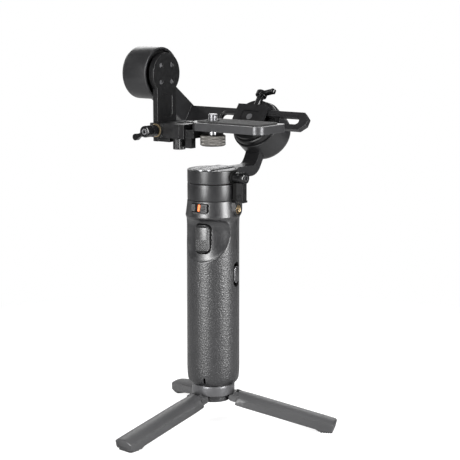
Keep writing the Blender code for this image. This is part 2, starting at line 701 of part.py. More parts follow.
def make_tilt_arm():
    """Slotted flat bar through the roll clamp, turning forward at its left end to carry the tilt motor."""
    left, right = TILT_ARM_X[0], BAR_RIGHT
    half = BAR_WIDTH / 2
    outline = [(left, -half), (right - 4.0, -half), (right, -half + 4.0), (right, half - 4.0),
               (right - 4.0, half), (left, half)]
    bar = extruded(outline, -BAR_FAR, -BAR_NEAR, 0.6)
    slot_length = BAR_SLOT[1] - BAR_SLOT[0]
    middle = (BAR_SLOT[0] + BAR_SLOT[1]) / 2
    slot = extruded(rounded(slot_length, SLOT_WIDTH, SLOT_WIDTH / 2 - 0.01, 5, (middle, 0)), -60, -40)
    riser = block(TILT_ARM_X, (-8.0, 8.0), (-BAR_FAR - 1.2, -12.0), 1.2)
    motor = moved(rod(TILT_RADIUS + GAP, TILT_OUTER - 5, TILT_RIM + 5, segments=32), ROLL.inverted() @ TILT)
    node("tilt_arm", subtract(unite(bar, riser), slot, motor), "metal", ROLL)


def make_tilt_motor():
    frame = TILT @ Matrix.Translation((0, 0, TILT_OUTER))
    depth = TILT_RIM - TILT_OUTER
    radius = TILT_RADIUS
    corner = 3.4
    housing = [(0, 0), (radius - corner, 0)]
    housing += arc((radius - corner, corner), corner, -90, 0, 4)[1:]
    rim = depth + 1.6
    housing += [
        (radius, rim - 0.4), (radius - 0.4, rim), (radius - 1.2, rim), (radius - MOTOR_WALL, depth - 1.0),
        (radius - MOTOR_WALL, corner + 0.6), (radius - corner - 0.6, MOTOR_WALL), (0, MOTOR_WALL),
    ]
    node("tilt_housing", turned(housing, 32), "metal", frame)
    inside = frame @ Matrix.Translation((0, 0, 2.4))
    motor_stator("tilt", inside, radius - 0.6, depth - 4.4)
    rotor = rotor_core(radius - 0.6, depth - 4.4) + [
        (radius - 2.2, depth - 4.4 + GAP), (radius - 2.2, depth - 2.4),
        (8.2, depth - 2.4), (8.2, depth - 0.8), (0, depth - 0.8),
    ]
    node("tilt_rotor", turned(rotor, 32), "dark", inside)


def make_bracket():
    """The plate that hangs from the tilt rotor: the camera platform slides up and down on it."""
    low, high = RAIL_FOOT, HEAD_CENTRE
    outline = [(-RAIL_HALF_WIDTH, low), (RAIL_HALF_WIDTH, low)]
    outline += arc((0, high), 14.0, -44.4, 224.4, 16)
    plate = moved(extruded(outline, *RAIL_X, 0.5), ACROSS)
    foot = block((RAIL_X[0], -30.0), (-9.0, 9.0), (low, 193.2), 0.5)
    node("bracket_rail", unite(plate, foot), "metal", HEAD, (0, 0, HEAD_CENTRE))


# ---------------------------------------------------------------- camera platform

def make_platform():
    jaw = RAIL_HALF_WIDTH + GAP
    body = block(PLATFORM_X, (PLATFORM_FRONT, PLATFORM_BACK), PLATFORM_Z, 0.8)
    jaws = [
        block((RAIL_X[0] - 0.2, -34.0), (-13.0, -jaw), PLATFORM_Z, 0.6),
        block((RAIL_X[0] - 0.2, -34.0), (jaw, PLATFORM_BACK), PLATFORM_Z, 0.6),
    ]
    tongue = block((PLATFORM_X[1] - 1.0, -9.4), (-9.0, 24.0), (194.2, PLATE_Z[0] - GAP), 0.5)
    catch = block((-16.8, -11.8), (-8.4, -3.6), (187.4, 195.0), 0.6)
    node("platform_clamp", unite(body, *jaws, tongue, catch), "dark", HEAD, (0, 0, HEAD_CENTRE))
    clamp_screw = Matrix.Translation((LEVER_X, 0, LEVER_Z)) @ FORWARD
    face = 13.0 + GAP
    washer = turned([(2.2, face), (4.5, face), (4.5, face + 1.1), (2.2, face + 1.1)], 16)
    node("lever_washer", washer, "brass", clamp_screw)
    barrel = turned([
        (0, 14.7), (3.4, 14.7), (4.0, 15.3), (4.0, 25.4), (3.4, 26.0), (2.1, 26.0), (2.1, 25.2), (0, 25.2),
    ], 16)
    handle = [(0, -1.7), (11.0, -1.4)] + arc((12.6, 0), 2.1, -42, 42, 5) + [(11.0, 1.4), (0, 1.7)]
    arm = moved(extruded(handle, 18.6, 22.0, 0.5), rotation(202, "Z"))
    node("platform_lever", unite(barrel, arm), "dark", clamp_screw)
    screw = extruded(ribbed(4.25, 0.4, 16, THUMB_SCREW), THUMB_SCREW_FOOT, PLATFORM_Z[0] - GAP, 0.3)
    node("thumb_screw", screw, "dark", HEAD, (*THUMB_SCREW, THUMB_SCREW_FOOT))


def make_camera_plate():
    outline = [(PLATE_X[0], -2.5), (-6.0, PLATE_Y[0])]
    outline += arc((PLATE_X[1] - 6, PLATE_Y[0] + 6), 6.0, -90, 0, 5)
    outline += arc((PLATE_X[1] - 6, PLATE_Y[1] - 6), 6.0, 0, 90, 5)
    outline += [(PLATE_X[0], PLATE_Y[1])]
    plate = extruded(outline, *PLATE_Z, 0.6)
    hole = rod(3.6, 190, 210)
    node("camera_plate", subtract(plate, hole), "metal", HEAD, (0, 0, PLATE_Z[0]))
    pad = extruded(rounded(52.0, 24.0, 4.0, 4, (17.0, 4.0)), PLATE_Z[1] + GAP, PAD_TOP)
    node("plate_pad", subtract(pad, rod(4.6, 190, 210)), "rubber", HEAD, (0, 0, PLATE_Z[0]))
    low, high = KNOB_Z
    grip = extruded(ribbed(KNOB_RADIUS, 0.25, 16), low, high, 0.4)
    knob = subtract(grip, rod(STUD_RADIUS + GAP, low + 2.0, high + 5))
    node("camera_knob", knob, "knob", HEAD, (0, 0, low))
    screw = turned([
        (0, low + 2.3), (STUD_RADIUS, low + 2.3), (STUD_RADIUS, 210.0), (2.4, 210.8), (0, 210.8),
    ], 16)
    node("camera_screw", screw, "steel", HEAD, (0, 0, low))


# ---------------------------------------------------------------- tripod

def make_tripod_hub():
    bore = STUD_RADIUS + GAP
    low, high = COLLAR_Z
    collar = turned([
        (bore, low), (COLLAR_RADIUS - 0.4, low), (COLLAR_RADIUS, low + 0.4),
        (COLLAR_RADIUS, high - 0.6), (COLLAR_RADIUS - 0.6, high), (bore, high),
    ], 32)
    node("tripod_collar", collar, "metal")
    low, high = HUB_Z
    hub = turned([(bore, low), (HUB_RADIUS - 0.4, low), (HUB_RADIUS, low + 0.4), (HUB_RADIUS, high), (bore, high)], 32)
    out, up = LEG_PIVOT
    reach = KNUCKLE_RADIUS - 0.1
    side = [(-6.0, -reach)] + arc((0, 0), reach, -90, 100, 8) + [(-0.45, HUB_Z[1] - up), (-6.0, HUB_Z[1] - up)]
    for azimuth in LEG_AZIMUTHS:
        lug = extruded(side, -LUG_WIDTH / 2, LUG_WIDTH / 2)
        hub = unite(hub, moved(lug, leg_frame(azimuth) @ FORWARD))
    for index, azimuth in enumerate(LEG_AZIMUTHS, start=1):
        frame = leg_frame(azimuth) @ FORWARD
        hub = subtract(hub, moved(rod(PIN_RADIUS + GAP - 0.1, -8, 8, segments=12), frame))
        node(f"leg_pin_{index}", rod(PIN_RADIUS - 0.1, -7.4, 7.4, segments=12), "steel", frame)
    node("tripod_hub", hub, "satin")
    foot = HUB_Z[0] + 0.4
    stud = turned([(0, foot), (STUD_RADIUS, foot), (STUD_RADIUS, 31.6), (2.4, 32.4), (0, 32.4)], 16)
    node("tripod_screw", stud, "steel")


def leg_section(along, width, crown, crease, under, steps=8):
    """Across a leg at a distance along it: flat underneath, upright flanks, and a round top above the crease."""
    half = width / 2
    rise = crown - crease
    radius = (half * half + rise * rise) / (2 * rise)
    spread = 2 * atan2(rise, half)
    points = [(along, -half + 0.8, -under), (along, half - 0.8, -under), (along, half, -under + 0.8)]
    for step in range(steps + 1):
        angle = spread - 2 * spread * step / steps
        points.append((along, radius * sin(angle), crown - radius + radius * cos(angle)))
    points.append((along, -half, -under + 0.8))
    return points


def foot_under(along):
    """How far a leg reaches under its hinge line where its underside is level, just over the sole."""
    slope = radians(LEG_SLOPE)
    level = LEG_PIVOT[1] - GROUND - SOLE_THICKNESS - GAP
    return (level - along * sin(slope)) / cos(slope)


def make_leg(index, azimuth):
    """A folding leg with a slot for the hub's lug, and the rubber sole under its foot."""
    frame = leg_frame(azimuth)
    sloped = frame @ rotation(LEG_SLOPE, "Y")
    leg = lofted([
        leg_section(-0.6, 14.4, 4.4, 2.2, -1.0),
        leg_section(3.1, 14.8, 4.5, 2.2, -1.0),
        leg_section(3.2, 14.8, 4.5, -2.6, 4.3),
        leg_section(8.0, 15.6, 4.5, -1.8, 4.3),
        leg_section(14.0, LEG_WIDTH, 4.5, -0.4, 4.3),
        leg_section(30.0, LEG_WIDTH, 4.4, 0.2, 4.3),
        leg_section(60.4, LEG_WIDTH, 4.2, 1.0, 4.5),
        leg_section(63.0, LEG_WIDTH, 4.2, 1.0, foot_under(63.0)),
        leg_section(LEG_LENGTH - 2.2, LEG_WIDTH, 4.1, 1.0, foot_under(LEG_LENGTH - 2.2)),
        leg_section(LEG_LENGTH, 13.2, 3.9, 0.8, foot_under(LEG_LENGTH)),
    ])
    radius = KNUCKLE_RADIUS
    side = arc((0, 0), radius, 90, 270, 8) + [(4.0, -radius), (4.0, radius)]
    knuckle = moved(extruded(side, -7.2, 7.2), FORWARD)
    half_slot = LUG_WIDTH / 2 + GAP
    slot = block((-5.0, radius + 1.0), (-half_slot, half_slot), (-8.0, 8.0))
    bore = moved(rod(PIN_RADIUS + GAP - 0.1, -8, 8, segments=12), FORWARD)
    node(f"leg_{index}", subtract(unite(leg, knuckle), slot, bore), "satin", sloped)
    bottom = GROUND - LEG_PIVOT[1]
    sole = block(SOLE_OUT, (-6.0, 6.0), (bottom, bottom + SOLE_THICKNESS), 0.2)
    node(f"foot_pad_{index}", sole, "rubber", frame)


# ---------------------------------------------------------------- assembly

for existing in list(bpy.data.objects):
    bpy.data.objects.remove(existing)

MATERIALS = make_materials()
make_handle_shells()
make_base()
make_neck()
make_slide_switch()
make_trigger()
make_rocker()
make_side_port()
make_control_panel()
make_joystick()
make_electronics()
make_pan_motor()
make_pan_lock()
make_pan_arm()
make_roll_motor()
make_roll_clamp()
make_tilt_arm()
make_tilt_motor()
make_bracket()
make_platform()
make_camera_plate()
make_tripod_hub()
for number, leg_azimuth in enumerate(LEG_AZIMUTHS, start=1):
    make_leg(number, leg_azimuth)
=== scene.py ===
"""Looks of the handheld camera gimbal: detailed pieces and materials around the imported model.

Pieces are built in millimetres in frames taken from the model's own joints, and placed in metres.
"""
import json
from math import atan2, cos, degrees, pi, radians, sin, sqrt

import bmesh
import bpy
from mathutils import Matrix, Vector


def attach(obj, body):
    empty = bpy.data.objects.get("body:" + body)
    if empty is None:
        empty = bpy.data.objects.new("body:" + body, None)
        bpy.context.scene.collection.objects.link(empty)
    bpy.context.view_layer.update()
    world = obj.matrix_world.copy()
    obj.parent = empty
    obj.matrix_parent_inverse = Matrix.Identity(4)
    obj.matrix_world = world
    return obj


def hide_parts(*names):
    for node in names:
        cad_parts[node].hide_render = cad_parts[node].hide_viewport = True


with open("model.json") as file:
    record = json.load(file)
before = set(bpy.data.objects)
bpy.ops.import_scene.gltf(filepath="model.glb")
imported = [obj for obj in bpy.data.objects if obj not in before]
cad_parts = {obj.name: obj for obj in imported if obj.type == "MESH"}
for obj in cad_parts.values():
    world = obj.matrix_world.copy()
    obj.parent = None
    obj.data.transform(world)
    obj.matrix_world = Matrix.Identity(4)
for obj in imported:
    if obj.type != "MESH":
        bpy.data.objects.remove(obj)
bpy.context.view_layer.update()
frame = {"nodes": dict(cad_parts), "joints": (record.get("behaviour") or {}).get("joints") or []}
joints = {joint["name"]: joint for joint in frame["joints"]}

MM = 0.001
METRE = 1000.0

# ---- frames, from the model's joints


def columns(x, y, z, origin):
    """A frame in millimetres from its three axes and its origin."""
    turn = Matrix((x, y, z)).transposed().to_4x4()
    return Matrix.Translation(origin) @ turn


def joint_place(name):
    return Vector(joints[name]["pos_m"]) * METRE


def joint_axis(name):
    return Vector(joints[name]["axis"]).normalized()


def rotation(angle, axis):
    return Matrix.Rotation(radians(angle), 4, axis)


def shift(x, y, z):
    return Matrix.Translation((x, y, z))


EAST, NORTH, UP = Vector((1, 0, 0)), Vector((0, 1, 0)), Vector((0, 0, 1))
pan_place = joint_place("pan")
CENTRE_HEIGHT = 236.0
LIFT = joint_place("tilt").z - CENTRE_HEIGHT
PAN = shift(pan_place.x, pan_place.y, LIFT)
handle_x = joint_axis("trigger_pull")
HANDLE = columns(handle_x, UP.cross(handle_x), UP, (pan_place.x, pan_place.y, LIFT))
centre = Vector((pan_place.x, pan_place.y, CENTRE_HEIGHT + LIFT))
roll_axis = joint_axis("roll")
# Z runs forward and up along the roll axis, X stays the head's X
ROLL = columns(EAST, roll_axis.cross(EAST), roll_axis, centre)
# Z runs along +X, X along +Y
TILT = columns(NORTH, UP, EAST, centre)
# extrusions along X (outline in Y, Z), and towards -Y (outline in X, Z)
ACROSS = columns(NORTH, UP, EAST, (0, 0, 0))
FORWARD = columns(EAST, UP, -NORTH, (0, 0, 0))


# ---- shapes

def outward(bm):
    bmesh.ops.recalc_face_normals(bm, faces=bm.faces[:])
    if bm.calc_volume(signed=True) < 0:
        bmesh.ops.reverse_faces(bm, faces=bm.faces[:])
    return bm


def turned(profile, segments=96):
    """A solid of revolution about Z from a closed outline of (radius, height) points."""
    bm = bmesh.new()
    turns = [2 * pi * i / segments for i in range(segments)]
    rings = []
    for radius, height in profile:
        if radius == 0:
            rings.append([bm.verts.new((0, 0, height))] * segments)
        else:
            rings.append([bm.verts.new((radius * cos(a), radius * sin(a), height)) for a in turns])
    for ring, following in zip(rings, rings[1:] + rings[:1]):
        for i in range(segments):
            j = (i + 1) % segments
            corners = list(dict.fromkeys((ring[i], ring[j], following[j], following[i])))
            if len(corners) > 2:
                bm.faces.new(corners)
    return outward(bm)


def lofted(rings):
    """A closed solid through rings of points, capped at both ends."""
    bm = bmesh.new()
    loops = [[bm.verts.new(point) for point in ring] for ring in rings]
    count = len(loops[0])
    for loop, following in zip(loops, loops[1:]):
        for i in range(count):
            j = (i + 1) % count
            bm.faces.new((loop[i], loop[j], following[j], following[i]))
    bm.faces.new(loops[0][::-1])
    bm.faces.new(loops[-1])
    return outward(bm)


def extruded(outline, low, high):
    return lofted([[(x, y, z) for x, y in outline] for z in (low, high)])


def block(x, y, z):
    return extruded([(x[0], y[0]), (x[1], y[0]), (x[1], y[1]), (x[0], y[1])], *z)


def arc(middle, radius, start, end, steps=10):
    angles = [radians(start + (end - start) * i / steps) for i in range(steps + 1)]
    return [(middle[0] + radius * cos(a), middle[1] + radius * sin(a)) for a in angles]


def rounded(width, height, radius, middle=(0, 0), steps=8):
    """The outline of a rectangle with round corners."""
    half_x, half_y = width / 2 - radius, height / 2 - radius
    points = []
    for sx, sy, start in ((1, 1, 0), (-1, 1, 90), (-1, -1, 180), (1, -1, 270)):
        points += arc((middle[0] + sx * half_x, middle[1] + sy * half_y), radius, start, start + 90, steps)
    return points


def circle(radius, middle=(0, 0), segments=64):
    return arc(middle, radius, 0, 360, segments)[:-1]


def around(count, radius, start=0.0, middle=(0, 0)):
    """Points evenly round a circle, from the angle start."""
    angles = [2 * pi * i / count + start for i in range(count)]
    return [(middle[0] + radius * cos(a), middle[1] + radius * sin(a)) for a in angles]


def rod(radius, low, high, middle=(0, 0), segments=64):
    return extruded(circle(radius, middle, segments), low, high)


def slab(width, height, radius, low, high, middle=(0, 0)):
    """A plate with round corners."""
    return extruded(rounded(width, height, radius, middle), low, high)


def fluted(radius, depth, count, middle=(0, 0), steps=4):
    """A round outline with grip flutes."""
    points = []
    for i in range(count * steps):
        angle = 2 * pi * i / (count * steps)
        reach = radius - depth * (0.5 - 0.5 * cos(2 * pi * (i % steps) / steps))
        points.append((middle[0] + reach * cos(angle), middle[1] + reach * sin(angle)))
    return points


def moved(bm, matrix):
    bm.transform(matrix)
    return bm


def to_side(bm):
    return moved(bm, ACROSS)


def to_front(bm):
    return moved(bm, FORWARD)


def joined(*parts):
    """Several solids of one piece, side by side or sunk in each other."""
    whole = bmesh.new()
    for part in parts:
        mesh = bpy.data.meshes.new("part")
        part.to_mesh(mesh)
        part.free()
        whole.from_mesh(mesh)
        bpy.data.meshes.remove(mesh)
    return whole


def placed(name, data):
    """A new object in the scene."""
    made = bpy.data.objects.new(name, data)
    bpy.context.scene.collection.objects.link(made)
    return made


def boolean(body, tool, operation):
    blanks = []
    for bm in (body, tool):
        mesh = bpy.data.meshes.new("blank")
        bm.to_mesh(mesh)
        bm.free()
        blanks.append(placed("blank", mesh))
    step = blanks[0].modifiers.new("Boolean", "BOOLEAN")
    step.operation = operation
    step.object = blanks[1]
    bpy.context.view_layer.update()
    evaluated = blanks[0].evaluated_get(bpy.context.evaluated_depsgraph_get())
    result = bmesh.new()
    result.from_mesh(evaluated.to_mesh())
    evaluated.to_mesh_clear()
    for blank in blanks:
        mesh = blank.data
        bpy.data.objects.remove(blank)
        bpy.data.meshes.remove(mesh)
    bmesh.ops.remove_doubles(result, verts=result.verts[:], dist=1e-4)
    return result


def cut(body, *tools):
    for tool in tools:
        body = boolean(body, tool, "DIFFERENCE")
    return body


def fused(body, *tools):
    for tool in tools:
        body = boolean(body, tool, "UNION")
    return body


# ---- materials

def shader_node(tree, kind, inputs=(), **settings):
    """A new node with its settings and its sockets' own values."""
    made = tree.nodes.new(kind)
    for key, value in settings.items():
        setattr(made, key, value)
    for socket, value in dict(inputs).items():
        made.inputs[socket].default_value = value
    return made


class Look:
    """Builds one procedural material on a Principled shader."""

    NOISE_CORE = (0.3, 0.7)  # the part of a noise's range that is mapped, so it reaches both ends

    def __init__(self, name, metallic=0.0, specular=0.5):
        self.material = bpy.data.materials.new(name)
        self.material.use_nodes = True
        self.tree = self.material.node_tree
        self.shader = self.tree.nodes["Principled BSDF"]
        self.shader.inputs["Metallic"].default_value = metallic
        self.shader.inputs["Specular IOR Level"].default_value = specular
        self.place = self.node("ShaderNodeTexCoord").outputs["Object"]
        self.normal = None

    def node(self, kind, inputs=(), **settings):
        return shader_node(self.tree, kind, inputs, **settings)

    def link(self, source, target):
        self.tree.links.new(source, target)

    def noise(self, size, detail=3.0, stretch=None):
        """Noise whose features are about size millimetres across."""
        made = self.node("ShaderNodeTexNoise", {"Scale": METRE / size, "Detail": detail})
        place = self.place
        if stretch:
            mapping = self.node("ShaderNodeMapping", {"Scale": stretch})
            self.link(self.place, mapping.inputs["Vector"])
            place = mapping.outputs["Vector"]
        self.link(place, made.inputs["Vector"])
        return made.outputs["Fac"]

    def cells(self, size):
        made = self.node("ShaderNodeTexVoronoi", feature="SMOOTH_F1")
        made.inputs["Scale"].default_value = METRE / size
        made.inputs["Smoothness"].default_value = 0.6
        self.link(self.place, made.inputs["Vector"])
        return made.outputs["Distance"]

    def span(self, value, low, high, start=0.0, end=1.0):
        """Maps start..end of a value to low..high, clamped."""
        made = self.node("ShaderNodeMapRange",
                         {"From Min": start, "From Max": end, "To Min": low, "To Max": high})
        self.link(value, made.inputs["Value"])
        return made.outputs["Result"]

    def maths(self, operation, first, second):
        made = self.node("ShaderNodeMath", operation=operation)
        for socket, value in zip(made.inputs, (first, second)):
            if isinstance(value, float):
                socket.default_value = value
            else:
                self.link(value, socket)
        return made.outputs[0]

    def blend(self, factor, first, second):
        made = self.node("ShaderNodeMix", data_type="RGBA")
        self.link(factor, made.inputs["Factor"])
        for socket, value in zip((made.inputs[6], made.inputs[7]), (first, second)):
            if isinstance(value, tuple):
                socket.default_value = (*value, 1.0)
            else:
                self.link(value, socket)
        return made.outputs[2]

    def bump(self, height, depth):
        """Raises the surface by depth millimetres where height is 1."""
        made = self.node("ShaderNodeBump", {"Distance": depth * MM, "Strength": 1.0})
        self.link(height, made.inputs["Height"])
        if self.normal is not None:
            self.link(self.normal, made.inputs["Normal"])
        self.normal = made.outputs["Normal"]

    def mottled(self, colour, size, low=0.88, high=1.12, detail=4.0):
        """The colour, drifting between a darker and a lighter tone."""
        tone = self.span(self.noise(size, detail), 0.0, 1.0, *self.NOISE_CORE)
        return self.blend(tone, scaled(colour, low), scaled(colour, high))

    def edge_wear_and_highlight(self, base, colour, amount):
        """Lightens convex edges: partly wear where handling has polished the surface, partly a painted
        highlight along the edges.
        """
        edge = self.span(self.node("ShaderNodeNewGeometry").outputs["Pointiness"], 0.0, amount, 0.53, 0.62)
        patchy = self.span(self.noise(2.5), 0.2, 1.0, 0.35, 0.6)
        return self.blend(self.maths("MULTIPLY", edge, patchy), base, colour)

    def gloss(self, size, low, high, detail=4.0):
        """Roughness wandering between low and high."""
        return self.span(self.noise(size, detail), low, high, *self.NOISE_CORE)

    def attribute(self, name):
        return self.node("ShaderNodeAttribute", attribute_name=name).outputs["Fac"]

    def finish(self, colour, roughness):
        self.link(colour, self.shader.inputs["Base Color"])
        self.link(roughness, self.shader.inputs["Roughness"])
        if self.normal is not None:
            self.link(self.normal, self.shader.inputs["Normal"])
        return self.material


def scaled(colour, factor):
    return tuple(min(1.0, c * factor) for c in colour)


def moulded(name, colour, low, high, grain=0.35, depth=0.012, specular=0.5):
    """Moulded plastic: a fine spark texture, uneven gloss, and edges painted a little lighter, as wear and as
    a painted edge highlight.
    """
    look = Look(name, specular=specular)
    base = look.edge_wear_and_highlight(look.mottled(colour, 14.0), scaled(colour, 1.9), 0.45)
    look.bump(look.noise(grain, 2.0), depth)
    return look.finish(base, look.gloss(1.8, low, high))


def grip_plastic(colour):
    """Pebble grain where the stored grain is 1, smooth satin where it is 0."""
    look = Look("grip_plastic", specular=0.65)
    grained = look.attribute("grained")
    pebbles = look.span(look.cells(1.05), 1.0, 0.0, 0.05, 0.6)
    # the pebble crests are painted lighter: a painted highlight on the grain
    crest_highlight = look.maths("MULTIPLY", grained, look.span(pebbles, 0.0, 1.0, 0.35, 0.95))
    base = look.blend(crest_highlight, look.mottled(colour, 11.0), scaled(colour, 2.2))
    # convex edges painted lighter: wear and a painted edge highlight
    base = look.edge_wear_and_highlight(base, scaled(colour, 1.9), 0.4)
    look.bump(look.maths("MULTIPLY", grained, pebbles), 0.10)
    look.bump(look.noise(0.3, 2.0), 0.01)
    smooth, coarse = look.gloss(1.6, 0.30, 0.40), look.gloss(1.6, 0.34, 0.44)
    plain = look.maths("SUBTRACT", 1.0, grained)
    rough = look.maths("ADD", look.maths("MULTIPLY", grained, coarse), look.maths("MULTIPLY", plain, smooth))
    return look.finish(base, rough)


def dimpled_plastic(colour):
    """Satin plastic whose grip dimples, stored with the mesh, are matt and painted dark as shade."""
    look = Look("trigger_plastic", specular=0.65)
    pits = look.attribute("pits")
    # the dimples are painted dark: painted shade in the pits
    base = look.blend(pits, look.mottled(colour, 9.0), scaled(colour, 0.2))
    look.bump(look.noise(0.35, 2.0), 0.01)
    return look.finish(base, look.maths("ADD", look.gloss(1.8, 0.26, 0.36), look.span(pits, 0.0, 0.6)))


def anodised(name, colour, low, high, metallic):
    """Bead-blasted, dyed aluminium whose edges are painted lighter, as polish and as a painted edge
    highlight.
    """
    look = Look(name, metallic)
    base = look.edge_wear_and_highlight(look.mottled(colour, 18.0, 0.9, 1.1), scaled(colour, 2.6), 0.5)
    look.bump(look.noise(0.22, 2.0), 0.008)
    return look.finish(base, look.gloss(2.4, low, high))


def turned_metal(name, colour, low, high, metallic=1.0):
    """Bare or plated metal with fine tool marks."""
    look = Look(name, metallic)
    # convex edges painted lighter: wear and a painted edge highlight
    base = look.edge_wear_and_highlight(look.mottled(colour, 3.0, 0.82, 1.1), scaled(colour, 1.5), 0.4)
    look.bump(look.noise(0.12, 2.0, (1.0, 1.0, 9.0)), 0.006)
    return look.finish(base, look.gloss(1.1, low, high, 3.0))


def soft_rubber(name, colour):
    look = Look(name)
    base = look.mottled(colour, 5.0, 0.8, 1.3)
    look.bump(look.cells(0.5), 0.03)
    return look.finish(base, look.gloss(1.2, 0.7, 0.9, 3.0))


def polished_window(name, colour):
    """A dark display window: deep gloss with faint smears."""
    look = Look(name)
    base = look.mottled(colour, 6.0, 0.8, 1.4, 3.0)
    return look.finish(base, look.span(look.noise(7.0, 4.0), 0.05, 0.16, 0.4, 0.7))


def make_looks():
    return {
        "grip": grip_plastic((0.008, 0.008, 0.0087)),
        "satin": moulded("satin_plastic", (0.010, 0.010, 0.011), 0.28, 0.38, specular=0.6),
        "trigger": dimpled_plastic((0.014, 0.014, 0.0145)),
        "leg": moulded("leg_plastic", (0.026, 0.026, 0.027), 0.38, 0.50, 0.6, 0.05),
        "metal": anodised("anodised_metal", (0.010, 0.010, 0.0107), 0.30, 0.38, 0.2),
        "cap": anodised("pan_cap_metal", (0.12, 0.12, 0.124), 0.24, 0.34, 0.8),
        "dark": anodised("black_metal", (0.004, 0.004, 0.0043), 0.28, 0.40, 0.2),
        "gloss": anodised("black_turned_metal", (0.004, 0.004, 0.0043), 0.16, 0.26, 0.2),
        "plate": anodised("plate_metal", (0.05, 0.05, 0.052), 0.30, 0.40, 0.6),
        "knob": turned_metal("knurled_metal", (0.085, 0.081, 0.075), 0.36, 0.50, 0.8),
        "brass": turned_metal("turned_brass", (0.36, 0.28, 0.17), 0.28, 0.42),
        "steel": turned_metal("steel", (0.30, 0.30, 0.31), 0.28, 0.42),
        # near-black for recesses and gaps: partly the parts' own black, partly painted shade
        "black_and_shade": moulded("recess_black_and_shade", (0.002, 0.002, 0.002), 0.6, 0.8, specular=0.12),
        "pad": moulded("pad_plastic", (0.006, 0.006, 0.0064), 0.45, 0.6),
        "collar": anodised("collar_metal", (0.11, 0.11, 0.114), 0.30, 0.42, 0.75),
        "rubber": soft_rubber("rubber", (0.010, 0.010, 0.010)),
        "glass": polished_window("display_glass", (0.012, 0.012, 0.015)),
        "orange": moulded("orange_mark", (0.90, 0.17, 0.03), 0.32, 0.45),
        "copper": turned_metal("winding", (0.60, 0.26, 0.12), 0.35, 0.5, 0.8),
        "board": moulded("circuit_board", (0.02, 0.10, 0.05), 0.35, 0.5),
        "cell": moulded("cell_wrap", (0.05, 0.12, 0.30), 0.3, 0.45),
    }


LOOKS = make_looks()


# ---- pieces

def piece(name, bm, look, body, frame_of=None, replaces=None, bevel=0.0, segments=3, angle=32, extra=None):
    """One finished piece: its solid and softened edges, its material, its body, and the node it replaces."""
    if frame_of is not None:
        bm.transform(frame_of)
    outward(bm)
    bm.transform(Matrix.Scale(MM, 4))
    mesh = bpy.data.meshes.new(name)
    bm.to_mesh(mesh)
    bm.free()
    mesh.materials.append(LOOKS[look])
    if extra:
        extra(mesh)
    made = placed(name, mesh)
    mesh.shade_smooth()
    if bevel:
        soften = made.modifiers.new("Bevel", "BEVEL")
        soften.width = bevel * MM
        soften.segments = segments
        soften.limit_method = "ANGLE"
        soften.angle_limit = radians(angle)
        soften.use_clamp_overlap = True
        weigh = made.modifiers.new("Normals", "WEIGHTED_NORMAL")
        weigh.keep_sharp = False
        weigh.weight = 100
    else:
        mesh.set_sharp_from_angle(angle=radians(angle))
    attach(made, body)
    if replaces:
        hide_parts(replaces)


def on_handle(name, bm, look, *rest, **more):
    piece(name, bm, look, "handle", HANDLE, *rest, **more)


def repaint(node, look):
    """A CAD node whose shape is right keeps it and takes a finished material."""
    slots = frame["nodes"][node].material_slots
    if slots:
        slots[0].material = LOOKS[look]
    else:
        frame["nodes"][node].data.materials.append(LOOKS[look])


# ---- handle shells

GRIP_RADIUS = 17.7
HANDLE_BOTTOM = 27.3
HANDLE_TOP = 153.6
NECK_RADIUS = 18.5
FLARE_HEIGHT, NECK_HEIGHT = 140, 143.2  # where the neck begins to flare, and where it is widest
SCOOP_HEIGHT, SCOOP_DEPTH, SCOOP_HALF_ANGLE = 131.5, 3.3, 68
SCOOP_RISE, SCOOP_FALL = 10.6, 18.5
TRIGGER_WIDTH, TRIGGER_HEIGHT, TRIGGER_MIDDLE, WELL_FLOOR = 10.3, 18.4, 128.7, 8.8
SWITCH_HEIGHT = 149.5
SWITCH_POCKET, SWITCH_POCKET_MIDDLE, SLIDER_MIDDLE, MARKER_MIDDLE = (13.4, 6.4), -0.9, 2.4, -1.75
ROCKER_HEIGHT, PORT_HEIGHT = 103.5, 128
PANEL_WIDTH, PANEL_HEIGHT, PANEL_MIDDLE, PANEL_FACE = 15.4, 54, 111, 16.1
DISPLAY_HEIGHT, JOYSTICK_HEIGHT = 126.5, 106
BUTTON_HEIGHTS = {"mode_button": 95.5, "power_button": 88.2}
PAD_HEIGHT = 147.8  # of the threaded insert in the accessory pad


def smoothstep(value):
    value = max(0, min(1, value))
    return value * value * (3 - 2 * value)


def shell_radius(height):
    """The handle's outer radius: drawn in at the foot, flared and narrowing again at the neck."""
    if height < 40:
        fall = (40 - height) / (40 - HANDLE_BOTTOM)
        return GRIP_RADIUS + 0.2 - 0.8 * fall ** 2 - 2.5 * fall ** 9
    if height < FLARE_HEIGHT:
        return GRIP_RADIUS + 0.2 * max(0, (100 - height) / 60)
    if height < NECK_HEIGHT:
        return GRIP_RADIUS + (NECK_RADIUS - GRIP_RADIUS) * ((height - FLARE_HEIGHT) / 3.2) ** 1.6
    fall = (height - NECK_HEIGHT) / (HANDLE_TOP - NECK_HEIGHT)
    return NECK_RADIUS - 1.3 * (0.25 * fall + 0.75 * fall ** 0.8)


def scoop_ratio(angle, height):
    """0 in the middle of the finger scoop, 1 on its rim."""
    above = smoothstep((height - SCOOP_HEIGHT) / 7)
    reach = SCOOP_RISE if height > SCOOP_HEIGHT else SCOOP_FALL
    across = abs(angle / SCOOP_HALF_ANGLE) ** (1.8 + 2.2 * above)
    return across + abs((height - SCOOP_HEIGHT) / reach) ** (4 if height > SCOOP_HEIGHT else 1.8)


def scoop(angle, height):
    return SCOOP_DEPTH * max(0, 1 - scoop_ratio(angle, height)) ** 0.6


